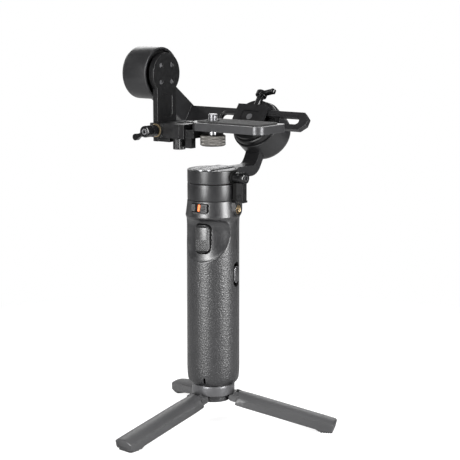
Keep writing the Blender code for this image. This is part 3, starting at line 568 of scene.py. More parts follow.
def half_shell(facing, steps, levels, cut_in):
    """Half of the handle's wall: facing -1 is the front, +1 the user's side."""
    seam = 0.09

    def row(radius_at, height):
        points = []
        for i in range(steps + 1):
            angle = -90 + 180 * i / steps
            radius = radius_at(angle, height)
            along = max(radius * cos(radians(angle)), seam)
            points.append((-facing * radius * sin(radians(angle)), facing * along, height))
        return points

    def outside(angle, height):
        return shell_radius(height) - (scoop(angle, height) if cut_in else 0)

    def inside(angle, height):
        wall = 5.6 if 113 < height < 143.5 and cut_in else 2.2
        return 11.9 if height < 31.5 else shell_radius(height) - wall

    bm = bmesh.new()
    rows = [row(outside, z) for z in levels] + [row(inside, z) for z in reversed(levels)]
    loops = [[bm.verts.new(p) for p in points] for points in rows]
    for loop, following in zip(loops, loops[1:] + loops[:1]):
        for i in range(steps):
            bm.faces.new((loop[i], loop[i + 1], following[i + 1], following[i]))
    count = len(levels)
    for end in (0, steps):
        for i in range(count - 1):
            j = 2 * count - 1 - i
            bm.faces.new((loops[i][end], loops[i + 1][end], loops[j - 1][end], loops[j][end]))
    return outward(bm)


def store(mesh, name, values):
    """Stores a number for each of a mesh's points, for its material to read."""
    mesh.attributes.new(name, "FLOAT", "POINT").data.foreach_set("value", values)


def mark_grain(cut_in):
    """Stores where the shell is grained: the grip below the scoop and the neck."""
    def mark(mesh):
        values = []
        into_handle = HANDLE.inverted()
        for vertex in mesh.vertices:
            spot = into_handle @ (vertex.co * METRE)
            angle = degrees(atan2(spot.x, -spot.y))
            value = smoothstep((123.5 - spot.z) / 4)
            if cut_in and abs(angle) < SCOOP_HALF_ANGLE + 5:
                value *= smoothstep((scoop_ratio(angle, spot.z) - 1) / 0.12)
            values.append(value)
        store(mesh, "grained", values)
    return mark


def spread(start, end, step):
    count = max(1, round((end - start) / step))
    return [start + (end - start) * i / count for i in range(count + 1)]


def side_cutter(width, height, middle, inner, outer, side=1):
    bm = slab(width, height, width / 2 - 0.01, inner, outer, (0, middle))
    return moved(bm, ACROSS if side > 0 else rotation(180, "Z") @ ACROSS)


def make_handle_shells():
    foot = spread(HANDLE_BOTTOM, 42, 0.9)
    levels = foot + spread(43.5, 111, 4.5) + spread(111.8, HANDLE_TOP, 0.45)
    front = half_shell(-1, 132, levels, True)
    rear = half_shell(1, 72, foot + spread(44, 141, 5) + spread(142, HANDLE_TOP, 0.8), False)
    front, rear = (cut(shell, side_cutter(7.2, 17, ROCKER_HEIGHT, 12.6, 20),
                       side_cutter(4.2, 10, PORT_HEIGHT, 11, 20, side=-1),
                       side_cutter(1, 6.2, 124, 16.9, 20)) for shell in (front, rear))
    opening = rounded(TRIGGER_WIDTH + 2, TRIGGER_HEIGHT + 2, 3.9, (0, TRIGGER_MIDDLE))
    pocket = rounded(*SWITCH_POCKET, 1.3, (SWITCH_POCKET_MIDDLE, SWITCH_HEIGHT))
    recess = rounded(SWITCH_POCKET[0] + 1.4, SWITCH_POCKET[1] + 1.2, 1.9,
                     (SWITCH_POCKET_MIDDLE, SWITCH_HEIGHT))
    strap = rounded(1.6, 4.2, 0.7, (2.4, 31.6))
    openings = ((opening, 8, 20), (pocket, 16.1, 22), (recess, 17.1, 22), (strap, 12, 22))
    front = cut(front, *(to_front(extruded(*shape)) for shape in openings))
    strip = to_side(slab(0.8, 5.8, 0.39, 16.6, 17.45, (0, 124)))
    on_handle("seam_strip", strip, "plate", angle=30)
    window = rounded(PANEL_WIDTH + 0.6, PANEL_HEIGHT + 0.6, 3, (0, PANEL_MIDDLE))
    rear = cut(rear, to_front(extruded(window, -20, -14.3)))
    on_handle("grip_front", front, "grip", "front_shell", 0.18, 2, 42, mark_grain(True))
    on_handle("grip_rear", rear, "grip", "rear_shell", 0.18, 2, 42, mark_grain(False))


def make_accessory_pad():
    """The flat pad with a brass threaded insert on the side of the neck."""
    half, middle = 5, 148
    outline = [(-half, 152.75)] + arc((0, middle), half, 180, 360, 24) + [(half, 152.75)]
    countersink = turned([(0, 8), (3.3, 8), (3.3, 18.7), (3.7, 19.4), (3.7, 24), (0, 24)], 64)
    pad = cut(extruded(outline, 13, 19.55), moved(countersink, shift(0, PAD_HEIGHT, 0)))
    on_handle("accessory_pad", to_side(pad), "pad", "neck_collar", 0.3)
    turns = []
    for i in range(15):
        height = 12.2 + i * 0.5
        turns += [(2.3, height), (2.55, height + 0.25)]
    outline = [(3.28, 18.6), (3.28, 9.2), (2.3, 9.2)] + turns + [(2.3, 18.6), (2.5, 18.9), (3.1, 18.9)]
    insert = moved(turned(outline, 48), shift(0, 0, PAD_HEIGHT) @ ACROSS)
    on_handle("threaded_insert", insert, "brass", "side_insert", angle=25)


# ---- handle controls

def knurled_face(width, height, corner, depth_at, inner, columns_count, rows_count):
    """A rounded-rectangle button whose front follows depth_at(x, z), as a grid squeezed into the outline."""
    bm = bmesh.new()
    grid = []
    for r in range(rows_count + 1):
        z = height * (r / rows_count - 0.5)
        over = max(0, abs(z) - (height / 2 - corner))
        half = width / 2 - corner + sqrt(max(0, corner * corner - over * over))
        half = max(half, width / 2 - corner + 0.05)
        row = []
        for c in range(columns_count + 1):
            x = half * (2 * c / columns_count - 1)
            row.append(bm.verts.new((x, -depth_at(x, z), z)))
        grid.append(row)
    for r in range(rows_count):
        for c in range(columns_count):
            bm.faces.new((grid[r][c], grid[r][c + 1], grid[r + 1][c + 1], grid[r + 1][c]))
    rim = grid[0] + [row[-1] for row in grid[1:]] + grid[-1][-2::-1] + [row[0] for row in grid[-2:0:-1]]
    back = [bm.verts.new((v.co.x, -inner, v.co.z)) for v in rim]
    for i in range(len(rim)):
        j = (i + 1) % len(rim)
        bm.faces.new((rim[j], rim[i], back[i], back[j]))
    bm.faces.new(back)
    return outward(bm)


def trigger_depth(x, z):
    """The trigger's crowned face, with grip dimples on its lower half."""
    half_x, half_z = TRIGGER_WIDTH / 2, TRIGGER_HEIGHT / 2
    crown = 17.6 - 0.75 * (x / half_x) ** 2 - 0.2 * (z / half_z) ** 2
    edge = max(abs(x) / half_x, abs(z) / half_z)
    crown -= 1.6 * smoothstep((edge - 0.78) / 0.22) ** 1.5
    return crown - 0.25 * dimple(x, z)


def dimple(x, z):
    """1 in the middle of a grip dimple of the trigger's lower half, 0 between them."""
    edge = max(abs(x) / (TRIGGER_WIDTH / 2), abs(z) / (TRIGGER_HEIGHT / 2))
    pitch = 1.5
    along, against = (x + z) / pitch, (x - z) / pitch
    lattice = abs(sin(pi * along)) * abs(sin(pi * against))
    fade = smoothstep((-0.2 - z) / 1.2) * smoothstep((0.9 - edge) / 0.1)
    return smoothstep((lattice - 0.45) / 0.3) * fade


def mark_dimples(mesh):
    """Stores where the trigger's face is dimpled."""
    into_trigger = (HANDLE @ shift(0, 0, TRIGGER_MIDDLE)).inverted()
    values = []
    for vertex in mesh.vertices:
        spot = into_trigger @ (vertex.co * METRE)
        values.append(dimple(spot.x, spot.z) if spot.y < -13 else 0)
    store(mesh, "pits", values)


def make_trigger():
    face = knurled_face(TRIGGER_WIDTH, TRIGGER_HEIGHT, 3.2, trigger_depth, 12.7, 72, 124)
    place = HANDLE @ shift(0, 0, TRIGGER_MIDDLE)
    piece("trigger_blade", face, "trigger", "trigger", place, "trigger", angle=60, extra=mark_dimples)
    middle = (0, TRIGGER_MIDDLE)
    # the well is near-black: painted shade in the gap round the trigger
    well = cut(slab(TRIGGER_WIDTH + 1, TRIGGER_HEIGHT + 1.2, 3.5, WELL_FLOOR - 0.2, 14.2, middle),
               slab(TRIGGER_WIDTH + 0.4, TRIGGER_HEIGHT + 0.8, 3.2, WELL_FLOOR, 20, middle))
    on_handle("trigger_well", to_front(well), "black_and_shade", "trigger_switch", angle=30)


def make_slide_switch():
    """A ribbed slider beside an orange bar in a black track, in the neck's recess."""
    middle = (SWITCH_POCKET_MIDDLE, SWITCH_HEIGHT)
    floor = slab(SWITCH_POCKET[0] - 0.2, SWITCH_POCKET[1] - 0.2, 1.2, 15.9, 16.25, middle)
    track = slab(9.4, 4.9, 0.6, 16.2, 16.35, (0.2, SWITCH_HEIGHT))
    on_handle("switch_track", to_front(fused(floor, track)), "black_and_shade", angle=30)
    grip = slab(2.6, 4.6, 0.5, 16.2, 16.75, (-5.9, SWITCH_HEIGHT))
    teeth = []
    for x in (-6.8, -6.2, -5.6, -5):
        for level in (147.9, 148.7, 149.5, 150.3, 151.1):
            teeth.append(block((x - 0.16, x + 0.16), (level - 0.2, level + 0.2), (16.6, 17)))
    on_handle("switch_grip", to_front(joined(grip, *teeth)), "satin", angle=30)
    outline = rounded(1.8, 4.7, 0.88, (MARKER_MIDDLE, SWITCH_HEIGHT))
    marker = extruded([(x + 0.12 * (z - SWITCH_HEIGHT), z) for x, z in outline], 16.3, 16.75)
    on_handle("orange_marker", to_front(marker), "orange", "switch_marker", 0.2)
    base = slab(4.6, 5.4, 0.8, 16.9, 17.9, (SLIDER_MIDDLE, SWITCH_HEIGHT))
    ribs = [block((x - 0.18, x + 0.18), (147.6, 151.4), (17.7, 18.4)) for x in (1, 1.7, 2.4, 3.1, 3.8)]
    piece("ribbed_slider", to_front(fused(base, *ribs)), "leg", "mode_slider", HANDLE, "mode_slider", 0.12, 2)


def make_rocker():
    cup = cut(slab(6.6, 16.4, 3.29, 13.2, 17.3, (0, ROCKER_HEIGHT)),
              slab(5.6, 15.4, 2.79, 14.4, 20, (0, ROCKER_HEIGHT)))
    on_handle("rocker_well", to_side(cup), "black_and_shade", "rocker_bezel", 0.2)
    rings = []
    for depth, inset in ((14.9, 0), (17.2, 0), (17.8, 0.15), (18.15, 0.45), (18.3, 0.9)):
        outline = rounded(4.3 - 2 * inset, 10.8 - 2 * inset, 2.14 - inset, (0, ROCKER_HEIGHT))
        rings.append([(depth - 0.02 * abs(z - ROCKER_HEIGHT) * (depth > 17), y, z) for y, z in outline])
    piece("rocker_key", lofted(rings), "satin", "zoom_rocker", HANDLE, "zoom_rocker", angle=40)
    rim = cut(slab(4.9, 11.4, 2.44, 16.6, 17.75, (0, ROCKER_HEIGHT)),
              slab(4.1, 10.6, 2.04, 10, 20, (0, ROCKER_HEIGHT)))
    piece("rocker_rim", to_side(rim), "steel", "zoom_rocker", HANDLE, bevel=0.12, segments=2)


def make_side_port():
    shell = slab(3.5, 9.3, 1.74, 11.4, 17.25, (0, PORT_HEIGHT))
    shell = cut(shell, slab(2.7, 8.5, 1.34, 12.4, 20, (0, PORT_HEIGHT)))
    turn = rotation(180, "Z") @ ACROSS
    on_handle("port_shell", moved(shell, turn), "steel", "charge_port", 0.12, 2)
    tongue = block((-0.35, 0.35), (PORT_HEIGHT - 3.2, PORT_HEIGHT + 3.2), (12.2, 16.2))
    on_handle("port_tongue", moved(tongue, turn), "rubber", bevel=0.1, segments=2)


def make_control_panel():
    back = PANEL_FACE - 1.5
    plate = slab(PANEL_WIDTH, PANEL_HEIGHT, 2.7, -PANEL_FACE, -back, (0, PANEL_MIDDLE))
    tools = [slab(12, 17, 1.4, -20, -PANEL_FACE + 0.8, (0, DISPLAY_HEIGHT))]
    dish = [(0, -20), (6.2, -20), (6.2, -PANEL_FACE - 0.01), (3.3, -PANEL_FACE + 1), (3.3, -10), (0, -10)]
    tools.append(moved(turned(dish, 64), shift(0, JOYSTICK_HEIGHT, 0)))
    tools += [rod(3, -20, -10, (0, middle)) for middle in BUTTON_HEIGHTS.values()]
    on_handle("panel_plate", to_front(cut(plate, *tools)), "satin", "control_panel", 0.3)
    glass = slab(11.4, 16.4, 1.1, -PANEL_FACE, -PANEL_FACE + 0.5, (0, DISPLAY_HEIGHT))
    on_handle("display_glass", to_front(glass), "glass", "display_window", 0.2)
    for name, middle in BUTTON_HEIGHTS.items():
        outline = [(0, -16.75), (1.3, -16.8), (2, -16.95), (2.35, -16.85), (2.6, -16.5), (2.68, -16.1),
                   (2.68, -14.2), (3.25, -14.2), (3.25, -12.9), (0, -12.9)]
        place = HANDLE @ FORWARD @ shift(0, middle, 0)
        piece(name + "_cap", turned(outline, 48), "satin", name, place, name, angle=30)
    mark = turned([(0.55, -16.95), (0.9, -16.95), (0.9, -16.7), (0.55, -16.7)], 32)
    piece("power_button_ring", mark, "orange", "power_button", place, angle=30)


def make_joystick():
    place = HANDLE @ FORWARD @ shift(0, JOYSTICK_HEIGHT, 0)
    outline = [(0, -12.5), (1.6, -12.5), (1.6, -16.9), (3.2, -17), (4.1, -17.4), (4.3, -17.8), (4.15, -18.3),
               (3.7, -18.6), (3.2, -18.55), (2.4, -18.2), (1.2, -18.05), (0, -18)]
    cap = turned(outline, 64)
    dots = [rod(0.24, -18.66, -18.2, middle, 10) for middle in around(18, 3.45)]
    piece("joystick_cap", joined(cap, *dots), "rubber", "joystick_stick", place, "joystick_stick", angle=35)


# ---- pan motor and lock

PAN_RADIUS, PAN_BOTTOM, PAN_SEAM, PAN_TOP = 17.2, 153.9, 165, 174.1


def make_pan_motor():
    radius, low, seam, top = PAN_RADIUS, PAN_BOTTOM, PAN_SEAM, PAN_TOP
    outline = [(0, low), (radius - 0.7, low)] + arc((radius - 0.5, low + 0.5), 0.5, -90, 0, 4)
    outline += arc((radius - 0.45, seam - 0.45), 0.45, 0, 90, 5)
    outline += [(radius - 1.6, seam), (radius - 1.6, low + 1.6), (0, low + 1.6)]
    on_handle("pan_motor_housing", turned(outline, 128), "metal", "pan_housing", angle=25)
    gasket = turned([(radius - 1.2, HANDLE_TOP - 0.2), (radius - 0.35, HANDLE_TOP - 0.2),
                     (radius - 0.35, low + 0.1), (radius - 1.2, low + 0.1)], 96)
    on_handle("pan_gasket", gasket, "black_and_shade", angle=30)
    outline = [(0, seam + 0.3), (radius - 0.9, seam + 0.3)]
    outline += arc((radius - 0.45, seam + 0.75), 0.45, -90, 0, 5)
    outline += [(radius, top - 1.1)] + arc((radius - 0.6, top - 0.6), 0.6, 0, 90, 6)
    outline += [(radius - 1.7, top), (radius - 1.7, top - 0.6), (0, top - 0.6)]
    piece("pan_motor_bell", turned(outline, 128), "metal", "pan_head", PAN, "pan_rotor", angle=25)
    disc = turned([(0, top - 0.8), (radius - 1.9, top - 0.8), (radius - 1.9, top - 0.25),
                   (radius - 2.2, top + 0.02), (0, top + 0.02)], 128)
    grooves = []
    for x in (-5.2, -3.6, 3.6, 5.2):
        grooves.append(block((x - 0.35, x + 0.35), (-9, 30), (top - 0.45, top + 2)))
    sink = turned([(5.6, top - 0.5), (6, top - 0.5), (6, top + 1), (5.6, top + 1)], 64)
    disc = cut(disc, moved(sink, shift(0, -3, 0)))
    outline = [(-7, -9.6)] + arc((0, -9.6), 7, 180, 360, 16)[1:-1] + [(7, -9.6), (7, 14.6), (-7, 14.6)]
    band = extruded(outline, top - 0.5, top + 0.68)
    piece("pan_cap_disc", fused(disc, cut(band, *grooves)), "cap", "pan_head", PAN, "pan_cap", 0.16, 2)


def hex_socket(radius, low, high, middle=(0, 0)):
    return extruded(circle(radius, middle, 6), low, high)


LOCK_HEIGHT = 169.5


def make_pan_lock():
    outline = [(0, 16.6), (3.5, 16.6), (3.5, 22.6), (3.25, 22.8), (3.25, 23.3), (3.5, 23.5), (3.8, 23.8),
               (3.8, 27), (3.6, 27.5), (3.2, 27.8), (2.9, 27.8), (2.7, 27.3), (0, 27.3)]
    place = PAN @ shift(0, 0, LOCK_HEIGHT) @ ACROSS
    clear = rod(PAN_RADIUS - 0.2, 150, 180, segments=96)
    barrel = moved(turned(outline, 72), shift(0, 0, LOCK_HEIGHT) @ ACROSS)
    piece("lock_pivot", cut(barrel, clear), "gloss", "pan_head", PAN, "lock_barrel", angle=28)
    head = cut(turned([(0, 26.8), (2.35, 26.8), (2.35, 27.5), (2.1, 27.8), (0, 27.8)], 48),
               hex_socket(1.3, 26.9, 29))
    piece("lock_screw", head, "plate", "pan_head", place, bevel=0.1, segments=2)
    # the boss is near-black: painted shade beside the lock barrel
    collar = to_side(rod(4.6, PAN_RADIUS - 0.4, PAN_RADIUS + 1.2, (0, LOCK_HEIGHT)))
    piece("lock_boss", collar, "black_and_shade", "pan_head", PAN, bevel=0.3)
    # a near-black web between the ring and the tab, painted as the shadow behind the tab
    shadow_web = cut(extruded([(-1.7, 154.4), (1.7, 154.4), (1.7, 168), (-1.7, 168)], 17.9, 20.9),
              rod(3.95, 10, 40, (0, LOCK_HEIGHT)))
    piece("lock_web", to_side(shadow_web), "black_and_shade", "pan_lock", PAN, bevel=0.2)
    outline = [(-2.25, 153.3), (2.25, 153.3), (2.25, 168), (-2.25, 168)]
    tab = cut(extruded(outline, 21.2, 26.4), rod(3.95, 10, 40, (0, LOCK_HEIGHT)))
    upright = ACROSS.inverted()
    ribs = [moved(block((21.7, 25.9), (-2.6, -2), (z, z + 0.5)), upright)
            for z in (155.2, 156.2, 157.2, 158.2)]
    lip = moved(block((21.2, 27), (-2.8, 2.25), (153.3, 154.6)), upright)
    tab = fused(tab, lip, *ribs)
    window = slab(2.2, 3.6, 0.6, 25.9, 30, (0, 160.8))
    piece("lock_tab", to_side(cut(tab, window)), "dark", "pan_lock", PAN, "pan_lock_latch", 0.3)


# ---- arms

def make_pan_arm():
    outline = [(12, 165.7), (36, 165.7)]
    outline += arc((36, 177.6), 11.9, -90, -32, 12)[1:]
    outline += [(53, 182), (50, 190), (45.6, 182), (42.2, 176)]
    outline += arc((37, 178.6), 5.6, -28, -92, 10)
    outline += [(12, 173.3)]
    arm = to_side(extruded(outline, -5.95, 5.95))
    motor = moved(rod(18, -85, -58, segments=128), PAN.inverted() @ ROLL)
    arm = cut(arm, rod(PAN_RADIUS - 0.3, 150, 180, segments=128), motor)
    piece("pan_arm_casting", arm, "metal", "pan_head", PAN, "pan_arm", 1, 4, 40)


ROLL_BACK, ROLL_SEAM, ROLL_RADIUS = 82, 61.3, 18.3
BAR_NEAR, BAR_FAR, BAR_WIDTH, BAR_RIGHT = 52.2, 55.8, 13.5, 47
CLAMP_NEAR, CLAMP_HALF = 50.2, 9.6
ARM_X = (-64, -54.5)


def make_roll_motor():
    radius, corner = ROLL_RADIUS, 6
    outline = [(0, -ROLL_BACK), (radius - corner, -ROLL_BACK)]
    outline += arc((radius - corner, corner - ROLL_BACK), corner, -90, 0, 16)[1:]
    outline += [(radius, -ROLL_SEAM - 1)] + arc((radius - 0.4, -ROLL_SEAM - 0.4), 0.4, 0, 90, 4)
    outline += [(radius - 1.6, -ROLL_SEAM), (radius - 1.6, -ROLL_SEAM - 2), (0, -ROLL_SEAM - 2)]
    piece("roll_motor_housing", turned(outline, 128), "metal", "pan_head", ROLL, "roll_housing", angle=25)
    radius = 17.2
    outline = [(0, -ROLL_SEAM + 0.2), (radius - 0.4, -ROLL_SEAM + 0.2), (radius, -ROLL_SEAM + 0.6),
               (radius, -59.2)]
    outline += arc((radius - 2, -59.1), 2, 0, 90, 8) + [(0, -57.1)]
    piece("roll_motor_bell", turned(outline, 128), "dark", "roll_arm", ROLL, "roll_rotor", angle=25)


def make_roll_clamp():
    base = rod(15.4, -56.8, -54.2, segments=96)
    guide = block((-13, 13), (-CLAMP_HALF, CLAMP_HALF), (-56.8, -CLAMP_NEAR))
    channel = block((-30, 30), (-7.05, 7.05), (-56.1, -51.9))
    slit = block((-30, 30), (6, 30), (-54.3, -53.7))
    pocket = slab(14, 9, 1.6, -CLAMP_NEAR - 0.5, -40)
    notch = moved(rod(2.8, 8.6, 20), shift(0, 0, -54) @ rotation(-90, "X"))
    body = cut(fused(base, guide), channel, slit, pocket, notch)
    piece("roll_clamp_body", body, "dark", "roll_arm", ROLL, "roll_clamp", 0.4, 3, 40)
    near, heads = -CLAMP_NEAR, []
    for spot in ((-10.2, -7.6), (-10.2, 7.6), (10.2, -7.6), (10.2, 7.6)):
        heads.append(cut(rod(1.3, near - 0.4, near - 0.02, spot, 32), hex_socket(0.6, near - 0.3, -40, spot)))
    heads.append(rod(2.3, -56.2, -CLAMP_NEAR - 0.45, segments=32))
    piece("roll_clamp_screws", joined(*heads), "steel", "roll_arm", ROLL, angle=30)
    barrel = CLAMP_HALF + 8.5
    outline = [(0, 9.9), (2.4, 9.9), (2.4, barrel), (3.7, barrel), (3.98, barrel + 0.3),
               (3.98, barrel + 3.5), (3.6, barrel + 3.95), (2.2, barrel + 3.95), (2.2, barrel + 3.6),
               (0, barrel + 3.6)]
    handle = [(-1.6, 0), (-1.6, 11)] + arc((0, 12.4), 2.2, 150, 30, 12) + [(1.6, 11), (1.6, 0)]
    arm = moved(extruded(handle[::-1], barrel + 0.9, barrel + 3.5), rotation(-110, "Z"))
    lever = fused(turned(outline, 64), arm)
    place = ROLL @ shift(0, 0, -54) @ rotation(-90, "X")
    piece("roll_clamp_handle", lever, "gloss", "roll_lever", place, "roll_lever", 0.3, 3, 35)
    screw = cut(rod(1.9, barrel + 3.4, barrel + 3.9, segments=48), hex_socket(1, barrel + 3.55, 40))
    piece("roll_clamp_screw", screw, "steel", "roll_lever", place, angle=30)


def make_tilt_arm():
    left, half = ARM_X[0], BAR_WIDTH / 2
    outline = [(left, -half), (BAR_RIGHT - 4.2, -half), (BAR_RIGHT, -half + 4), (BAR_RIGHT, half - 4),
               (BAR_RIGHT - 4.2, half), (left, half)]
    bar = extruded(outline, -BAR_FAR, -BAR_NEAR)
    slot = slab(65, 5.2, 2.59, -60, -40, (7.5, 0))
    relief = slab(67.6, 7.8, 3.89, -BAR_NEAR - 0.45, -40, (7.5, 0))
    back_relief = slab(67.6, 7.8, 3.89, -60, -BAR_FAR + 0.45, (7.5, 0))
    riser = block(ARM_X, (-8, 8), (-BAR_FAR - 1.2, -12))
    motor = moved(rod(17.5, -70, -40, segments=128), ROLL.inverted() @ TILT)
    panel = to_side(slab(9.6, 25, 1.6, -70, ARM_X[0] + 0.5, (0, -37)))
    arm = cut(fused(bar, riser), slot, relief, back_relief, motor, panel)
    piece("tilt_arm_casting", arm, "metal", "tilt_arm", ROLL, "tilt_arm", 0.7, 3, 40)


def make_tilt_motor():
    low, rim, radius, corner = -65.5, -43.8, 17.8, 3.4
    outline = [(0, low), (radius - corner, low)]
    outline += arc((radius - corner, low + corner), corner, -90, 0, 12)[1:]
    outline += [(radius, rim - 0.9), (radius - 0.15, rim - 0.25), (radius - 0.5, rim), (radius - 1.3, rim)]
    outline += [(radius - 1.6, rim - 0.3), (radius - 1.6, rim - 4.2), (0, rim - 4.2)]
    piece("tilt_motor_housing", turned(outline, 128), "metal", "tilt_arm", TILT, "tilt_housing", angle=25)
    outline = [(0, -47.6), (radius - 2.3, -47.6), (radius - 2.3, -46.3), (radius - 2.9, -45.8), (9.4, -45.8),
               (8.6, -45.3), (8.2, -43.9), (0, -43.9)]
    bell = turned(outline, 96)
    pockets = [rod(1.5, -46.2, -40, middle, 32) for middle in around(6, 12.2, 0.3)]
    piece("tilt_motor_bell", cut(bell, *pockets), "dark", "tilt_bracket", TILT, "tilt_rotor", 0.15, 2, 35)


def make_bracket():
    outline = [(-10, 190.5), (10, 190.5)] + arc((0, CENTRE_HEIGHT), 14, -44.4, 224.4, 48)
    plate = extruded(outline, -43.45, -39.45)
    pocket = slab(12, 15, 2, -39.95, -30, (0, 214.5))
    corners = around(4, 8, pi / 4, (0, CENTRE_HEIGHT))
    holes = [rod(1.7, -41.2, -30, corner, 32) for corner in corners]
    plate = to_side(cut(plate, pocket, *holes))
    foot = block((-43.45, -30), (-9, 9), (190.5, 193.2))
    piece("bracket_plate", fused(plate, foot), "dark", "tilt_bracket", PAN, "bracket_rail", 0.45, 3, 40)
    screws = [cut(rod(1.5, -42, -40, corner, 32), hex_socket(0.75, -40.6, -30, corner)) for corner in corners]
    piece("bracket_screws", to_side(joined(*screws)), "steel", "tilt_bracket", PAN, angle=30)


# ---- camera platform

LEVER_X, LEVER_Z = -38, 198.5


def make_platform():
    body = block((-39.1, -16), (-11.2, 14), (193.6, 203.3))
    jaws = [block((-43.7, -34), (-13, -10.3), (193.6, 203.3)),
            block((-43.7, -34), (10.3, 14), (193.6, 203.3))]
    tongue = block((-17, -9.4), (-9, 24), (194.2, 199.7))
    catch = block((-16.8, -11.8), (-8.4, -3.6), (187.4, 195))
    step = block((-20.5, -19.9), (-13, -10.9), (190, 210))
    waist = block((-30.5, -19.5), (-4, 8), (202.6, 206))
    body = cut(fused(body, *jaws, tongue, catch), step, waist)
    piece("platform_block", body, "dark", "platform", PAN, "platform_clamp", 0.4, 3, 40)
    place = PAN @ shift(LEVER_X, 0, LEVER_Z) @ FORWARD
    washer = turned([(2.2, 13.3), (4.3, 13.3), (4.5, 13.5), (4.5, 14.2), (4.3, 14.4), (2.2, 14.4)], 64)
    piece("brass_washer", washer, "brass", "platform", place, "lever_washer", angle=30)
    outline = [(0, 14.7), (3.3, 14.7), (3.98, 15.3), (3.98, 19.2), (3.7, 19.5), (3.7, 20.1), (3.98, 20.4),
               (3.98, 25), (3.7, 25.7), (3.2, 25.95), (2.6, 25.95), (2.5, 25.4), (0, 25.4)]
    barrel = turned(outline, 72)
    handle = [(0, -1.55), (9.4, -1.25)] + arc((12.4, 0), 2.25, -115, 115, 20) + [(9.4, 1.25), (0, 1.55)]
    arm = moved(extruded(handle, 18.9, 21.9), rotation(202, "Z"))
    piece("platform_lever_handle", fused(barrel, arm), "gloss", "platform_lever", place, "platform_lever",
          0.35, 3, 35)
    screw = cut(turned([(0, 25), (2.35, 25), (2.35, 25.5), (2, 25.9), (0, 25.9)], 48),
                hex_socket(1.2, 25.2, 30))
    piece("platform_lever_screw", screw, "steel", "platform_lever", place, angle=30)
    outline = fluted(4.25, 0.45, 16, (-24, -6))
    screw = cut(extruded(outline, 186, 193.3), rod(1.6, 180, 186.6, (-24, -6)))
    piece("ribbed_thumb_screw", screw, "gloss", "thumb_screw", PAN, "thumb_screw", 0.2, 2, 40)


def make_camera_plate():
    outline = [(-15.4, -2.5), (-6, -12)] + arc((41, -6), 6, -90, 0, 16)
    outline += arc((41, 14), 6, 0, 90, 16) + [(-15.4, 20)]
    plate = extruded(outline, 200, 205.2)
    seat = slab(53, 25, 4.4, 204.9, 208, (17, 4))
    under = slab(30, 20, 3, 198, 200.9, (24, 4))
    plate = cut(plate, rod(3.6, 190, 210), seat, under)
    piece("camera_plate_body", plate, "plate", "camera_plate", PAN, "camera_plate", 0.45, 3, 40)
    pad = cut(slab(52, 24, 4, 205, 206.2, (17, 4)), rod(4.6, 190, 210))
    grooves = [block((x - 0.35, x + 0.35), (-6, 14), (205.75, 208)) for x in range(9, 42, 4)]
    piece("plate_rubber", cut(pad, *grooves), "rubber", "camera_plate", PAN, "plate_pad", 0.15, 2, 40)
    low, high = 189.5, 196.8
    body = turned([(0, low), (7.6, low), (8.25, low + 0.5), (8.25, high - 0.5), (7.7, high), (3.3, high),
                   (3.3, low + 2), (0, low + 2)], 96)
    bands = []
    for start, end in ((low + 0.6, low + 2.4), (low + 2.8, low + 4.5), (low + 4.9, high - 0.6)):
        bands.append(cut(extruded(fluted(8.5, 0.3, 80), start, end), rod(7.8, 180, 210)))
    ring = extruded(circle(5.2), low - 0.3, low + 0.35)
    knob = fused(cut(body, ring), *bands)
    piece("knurled_knob", knob, "knob", "camera_screw", PAN, "camera_knob", 0.1, 1, 50)
    threads = []
    for i in range(10):
        height = 201.2 + i * 0.95
        threads += [(2.62, height), (3, height + 0.36), (3, height + 0.58)]
    outline = [(0, low + 2.3), (3, low + 2.3), (3, 200.6)] + threads + [(2.5, 210.8), (0, 210.8)]
    piece("camera_stud", turned(outline, 48), "steel", "camera_screw", PAN, "camera_screw", angle=25)


# ---- tripod

LEG_PIVOT = (14.5, 18)
LEG_LENGTH, LEG_SLOPE = 72, 13
LEG_AZIMUTHS = (-6, 114, 234)


def leg_frame(azimuth):
    radius, height = LEG_PIVOT
    return PAN @ rotation(azimuth - 90, "Z") @ shift(radius, 0, height)


def make_tripod_hub():
    low, high, radius = 20.1, 27, 14.6
    outline = [(3.3, low), (radius - 0.3, low)] + arc((radius - 0.35, low + 0.35), 0.35, -90, 0, 4)[1:]
    outline += [(radius, high - 1.2), (radius - 0.15, high - 0.9)]
    outline += arc((radius - 0.7, high - 0.6), 0.6, 0, 90, 6) + [(3.3, high)]
    piece("tripod_collar_ring", turned(outline, 128), "collar", "handle", PAN, "tripod_collar", angle=25)
    outline = [(3.3, 15.4), (11.4, 15.4), (12, 16), (12, 17.6), (11.7, 17.9), (12, 18.2), (12, 19.8),
               (3.3, 19.8)]
    hub = turned(outline, 96)
    side = [(-6, -2.1)] + arc((0, 0), 2.1, -90, 100, 20) + [(-0.45, 1.8), (-6, 1.8)]
    for azimuth in LEG_AZIMUTHS:
        hub = fused(hub, moved(extruded(side, -3, 3), PAN.inverted() @ leg_frame(azimuth) @ FORWARD))
    piece("tripod_hub_body", hub, "satin", "handle", PAN, "tripod_hub", 0.2, 2, 40)


def leg_section(along, width, crown, crease, under, steps=28):
    """Across a leg: flat underneath, upright flanks, and a round top above the crease."""
    half = width / 2
    rise = crown - crease
    radius = (half * half + rise * rise) / (2 * rise)
    spread_angle = 2 * atan2(rise, half)
    points = [(along, -half + 0.8, -under), (along, half - 0.8, -under), (along, half, -under + 0.8)]
    for step in range(steps + 1):
        angle = spread_angle * (1 - 2 * step / steps)
        points.append((along, radius * sin(angle), crown - radius + radius * cos(angle)))
    points.append((along, -half, -under + 0.8))
    return points


def foot_under(along):
    """How far a leg reaches under its hinge line where its underside is level, just over the sole."""
    slope = radians(LEG_SLOPE)
    return (LEG_PIVOT[1] + LIFT - 1 - along * sin(slope)) / cos(slope)


def blended(stations, along):
    """Values of a table of (along, ...) rows, eased between its rows."""
    for row, following in zip(stations, stations[1:]):
        if along <= following[0]:
            share = max(0, (along - row[0]) / (following[0] - row[0]))
            return [a + (b - a) * share for a, b in zip(row[1:], following[1:])]
    return list(stations[-1][1:])


